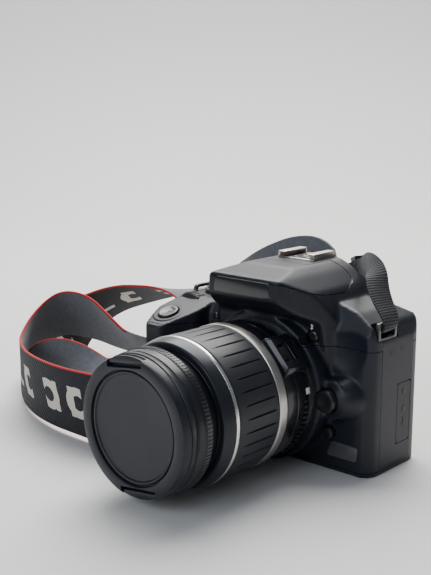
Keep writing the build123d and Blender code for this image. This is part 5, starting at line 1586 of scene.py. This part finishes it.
    def hot_shoe(self) -> None:
        """Bent steel shoe with its contacts."""
        z = 94.4
        sheet = [Bench.block((-10.75, 1.8, z), (10.75, 19.8, z + 0.4), 0.1, 2)]
        for k in (-1, 1):
            wall = sorted((k * 9.4, k * 10.75))
            lip = sorted((k * 6.35, k * 10.7))
            sheet.append(Bench.block((wall[0], 1.8, z + 0.1), (wall[1], 19.8, z + 3.05), 0.3))
            sheet.append(Bench.block((lip[0], 1.85, z + 2.3), (lip[1], 19.75, z + 3.1), 0.3))
        sheet.append(Bench.block((-9.8, 18.6, z + 0.1), (-6.35, 19.7, z + 2.9), 0.2))
        sheet.append(Bench.block((6.35, 18.6, z + 0.1), (9.8, 19.7, z + 2.9), 0.2))
        Bench.finish("shoe_rails", Bench.join(sheet), "camera", "shoe_steel", SHOE, replaced=["hot_shoe"])
        pins = [Bench.rod(1.2, (0, 10.5, z + 0.3), (0, 10.5, z + 0.5), 32, 0.08)]
        pins += [Bench.rod(0.75, (x, y, z + 0.3), (x, y, z + 0.5), 24, 0.06)
                 for x, y in ((-3.6, 7.0), (3.6, 7.0), (-3.6, 14.0), (3.6, 14.0))]
        Bench.finish("shoe_contacts", Bench.join(pins), "camera", "shoe_steel", BAND_METAL)
        bed = Bench.cut(Bench.block((-8.8, 3.0, z + 0.34), (8.8, 18.0, z + 0.44)), Bench.join([Bench.rod(
            1.5, (0, 10.5, z), (0, 10.5, z + 1), 32)]))
        Bench.finish("shoe_insulator", bed, "camera", "shoe_steel", DARK)

    def lugs(self) -> None:
        """Steel loops the webbing threads through."""
        for name, side, y in (("near", 1, -1.5), ("far", -1, 10.0)):
            face = 55.7 if side > 0 else -68.8
            low, high = sorted((face, face - side * 1.8))
            outer = Bench.rounded([(y - 7.6, 60.5), (y + 7.6, 60.5), (y + 7.6, 72.5), (y - 7.6, 72.5)], 2.2, 5)
            inner = Bench.rounded([(y - 5.9, 65.2), (y + 5.9, 65.2), (y + 5.9, 70.8), (y - 5.9, 70.8)], 1.2, 5)
            loop = Bench.cut(Bench.prism(outer, "X", low, high), Bench.prism(inner, "X", low - 1, high + 1))
            Bench.finish(f"lug_loop_{name}", Bench.soften(loop, 0.45), "camera", "lug_steel", LUG,
                         replaced=["strap_lugs"])

    def marks(self) -> None:
        """Blank name plate, badge, bolt sign, lamp and the raised signs on the terminal flap."""
        line = Bench.rounded([(-17.6, 82.2), (16.6, 82.2), (15.8, 89.5), (-16.8, 89.5)], 1.6, 5)
        plate = Bench.soften(Bench.prism(line, "Y", -0.9, 1.6), 0.3)
        lean = Matrix.Translation((0, -37.5, 86)) @ Matrix.Rotation(math.radians(-3), 4, "X")
        Bench.finish("name_plate", Bench.moved(plate, lean @ Matrix.Translation((0, 0, -86))), "camera", "gloss_black",
                     BODY_SMOOTH)
        badge = Bench.rounded([(33.0, 7.2), (49.6, 7.2), (50.2, 14.2), (36.0, 14.6)], 1.5, 5)
        badge_plate = Bench.soften(Bench.prism(badge, "Y", -15.35, -14.6), 0.18, 2)
        Bench.finish("front_badge", badge_plate, "camera", "body_plastic", BADGE)
        drawn = [(FLASH_BUTTON.x + 0.55 * a, FLASH_BUTTON.z + 5.0 + 0.55 * b) for a, b in self.bolt]
        bolt = Bench.prism(drawn, "Y", -19.35, -16.6)
        Bench.finish("flash_sign", bolt, "camera", "body_plastic", WHITE_INK)
        lens = [(-1, 0.0), (-1, 1.7), (0.2, 1.7), (0.45, 1.2), (0.55, 0.0)]
        lamp = self.knob(lens, (-37.0, self.front, 63.0), (0, -1, 0), 40)
        Bench.finish("timer_lamp", lamp, "camera", "gloss_black", LENS_GLOSS)
        flap, y = 56.3, 13.4
        arrow = ((-1.8, -1), (1.8, -1), (0, 2))
        signs = [Bench.rod(1.5, (flap, y, 36.5), (flap + 0.38, y, 36.5), 24),
                 Bench.hull([(x, y + u, 28.0 + v) for x in (flap, flap + 0.36) for u, v in arrow]),
                 Bench.block((flap, 12.9, 19.0), (flap + 0.36, 13.5, 24.0), 0.1),
                 Bench.block((flap, 11.4, 20.2), (flap + 0.36, 15.0, 20.8), 0.1)]
        Bench.finish("terminal_signs", Bench.join(signs), "terminal_cover", "rubber", SOFT_RUBBER)


# ---- Carried-over nodes --------------------------------------------------------------
NODE_FINISHES: dict[str, object] = {
    "strap_buckles": BUTTON, "strap_lugs": LUG, "screws": SCREW, "hot_shoe": SHOE, "tripod_socket": MOUNT_METAL,
    "front_shell": BODY, "rear_shell": BODY, "top_cover": BODY, "base_plate": BODY, "side_panel": PANEL,
    "terminal_cover": SOFT_RUBBER, "battery_door": BODY, "card_door": BODY, "flash_head": BODY,
    "lens_cap": CAP_MATT, "cap_latch_lower": CAP_RIM, "cap_latch_upper": CAP_RIM, "lens_barrel": LENS_GLOSS,
    "inner_barrel": LENS_SATIN, "focus_ring": LENS_SATIN, "focus_switch": BUTTON, "zoom_ring": COLLAR,
    "zoom_grip": GRIP_RUBBER, "zoom_trim_ring": TRIM, "lens_mount_ring": MOUNT_METAL, "front_element": GLASS,
    "rear_element": GLASS, "finder_optics": GLASS, "reflex_mirror": MIRROR, "sub_mirror": MIRROR,
    "rear_screen": SCREEN, "mirror_box": DARK, "chamber_frames": DARK, "shutter_frame": SHUTTER,
    "shutter_curtain": SHUTTER, "image_sensor": SENSOR, "main_board": BOARD, "battery": CELL,
    "memory_card": CARD_PLASTIC, "eyecup": SOFT_RUBBER, "main_dial": DIAL, "mode_dial": DIAL,
    "power_switch": DIAL,
}


def dress_nodes() -> None:
    """Gives every carried-over node its own finish."""
    for name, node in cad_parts.items():
        material = SHELF.take(NODE_FINISHES.get(name, BUTTON))
        for slot in node.material_slots:
            slot.material = material
        LOG.info("node %s: %s", name, material.name)


def main() -> None:
    """Builds the studio and every sub-assembly in order."""
    logging.basicConfig(level=logging.INFO, format="%(name)s %(message)s")
    Studio().build()
    CameraBody().build()
    ZoomLens().build()
    LensCap().build()
    Controls().build()
    NeckStrap().build()
    dress_nodes()


if __name__ == "__main__":
    main()
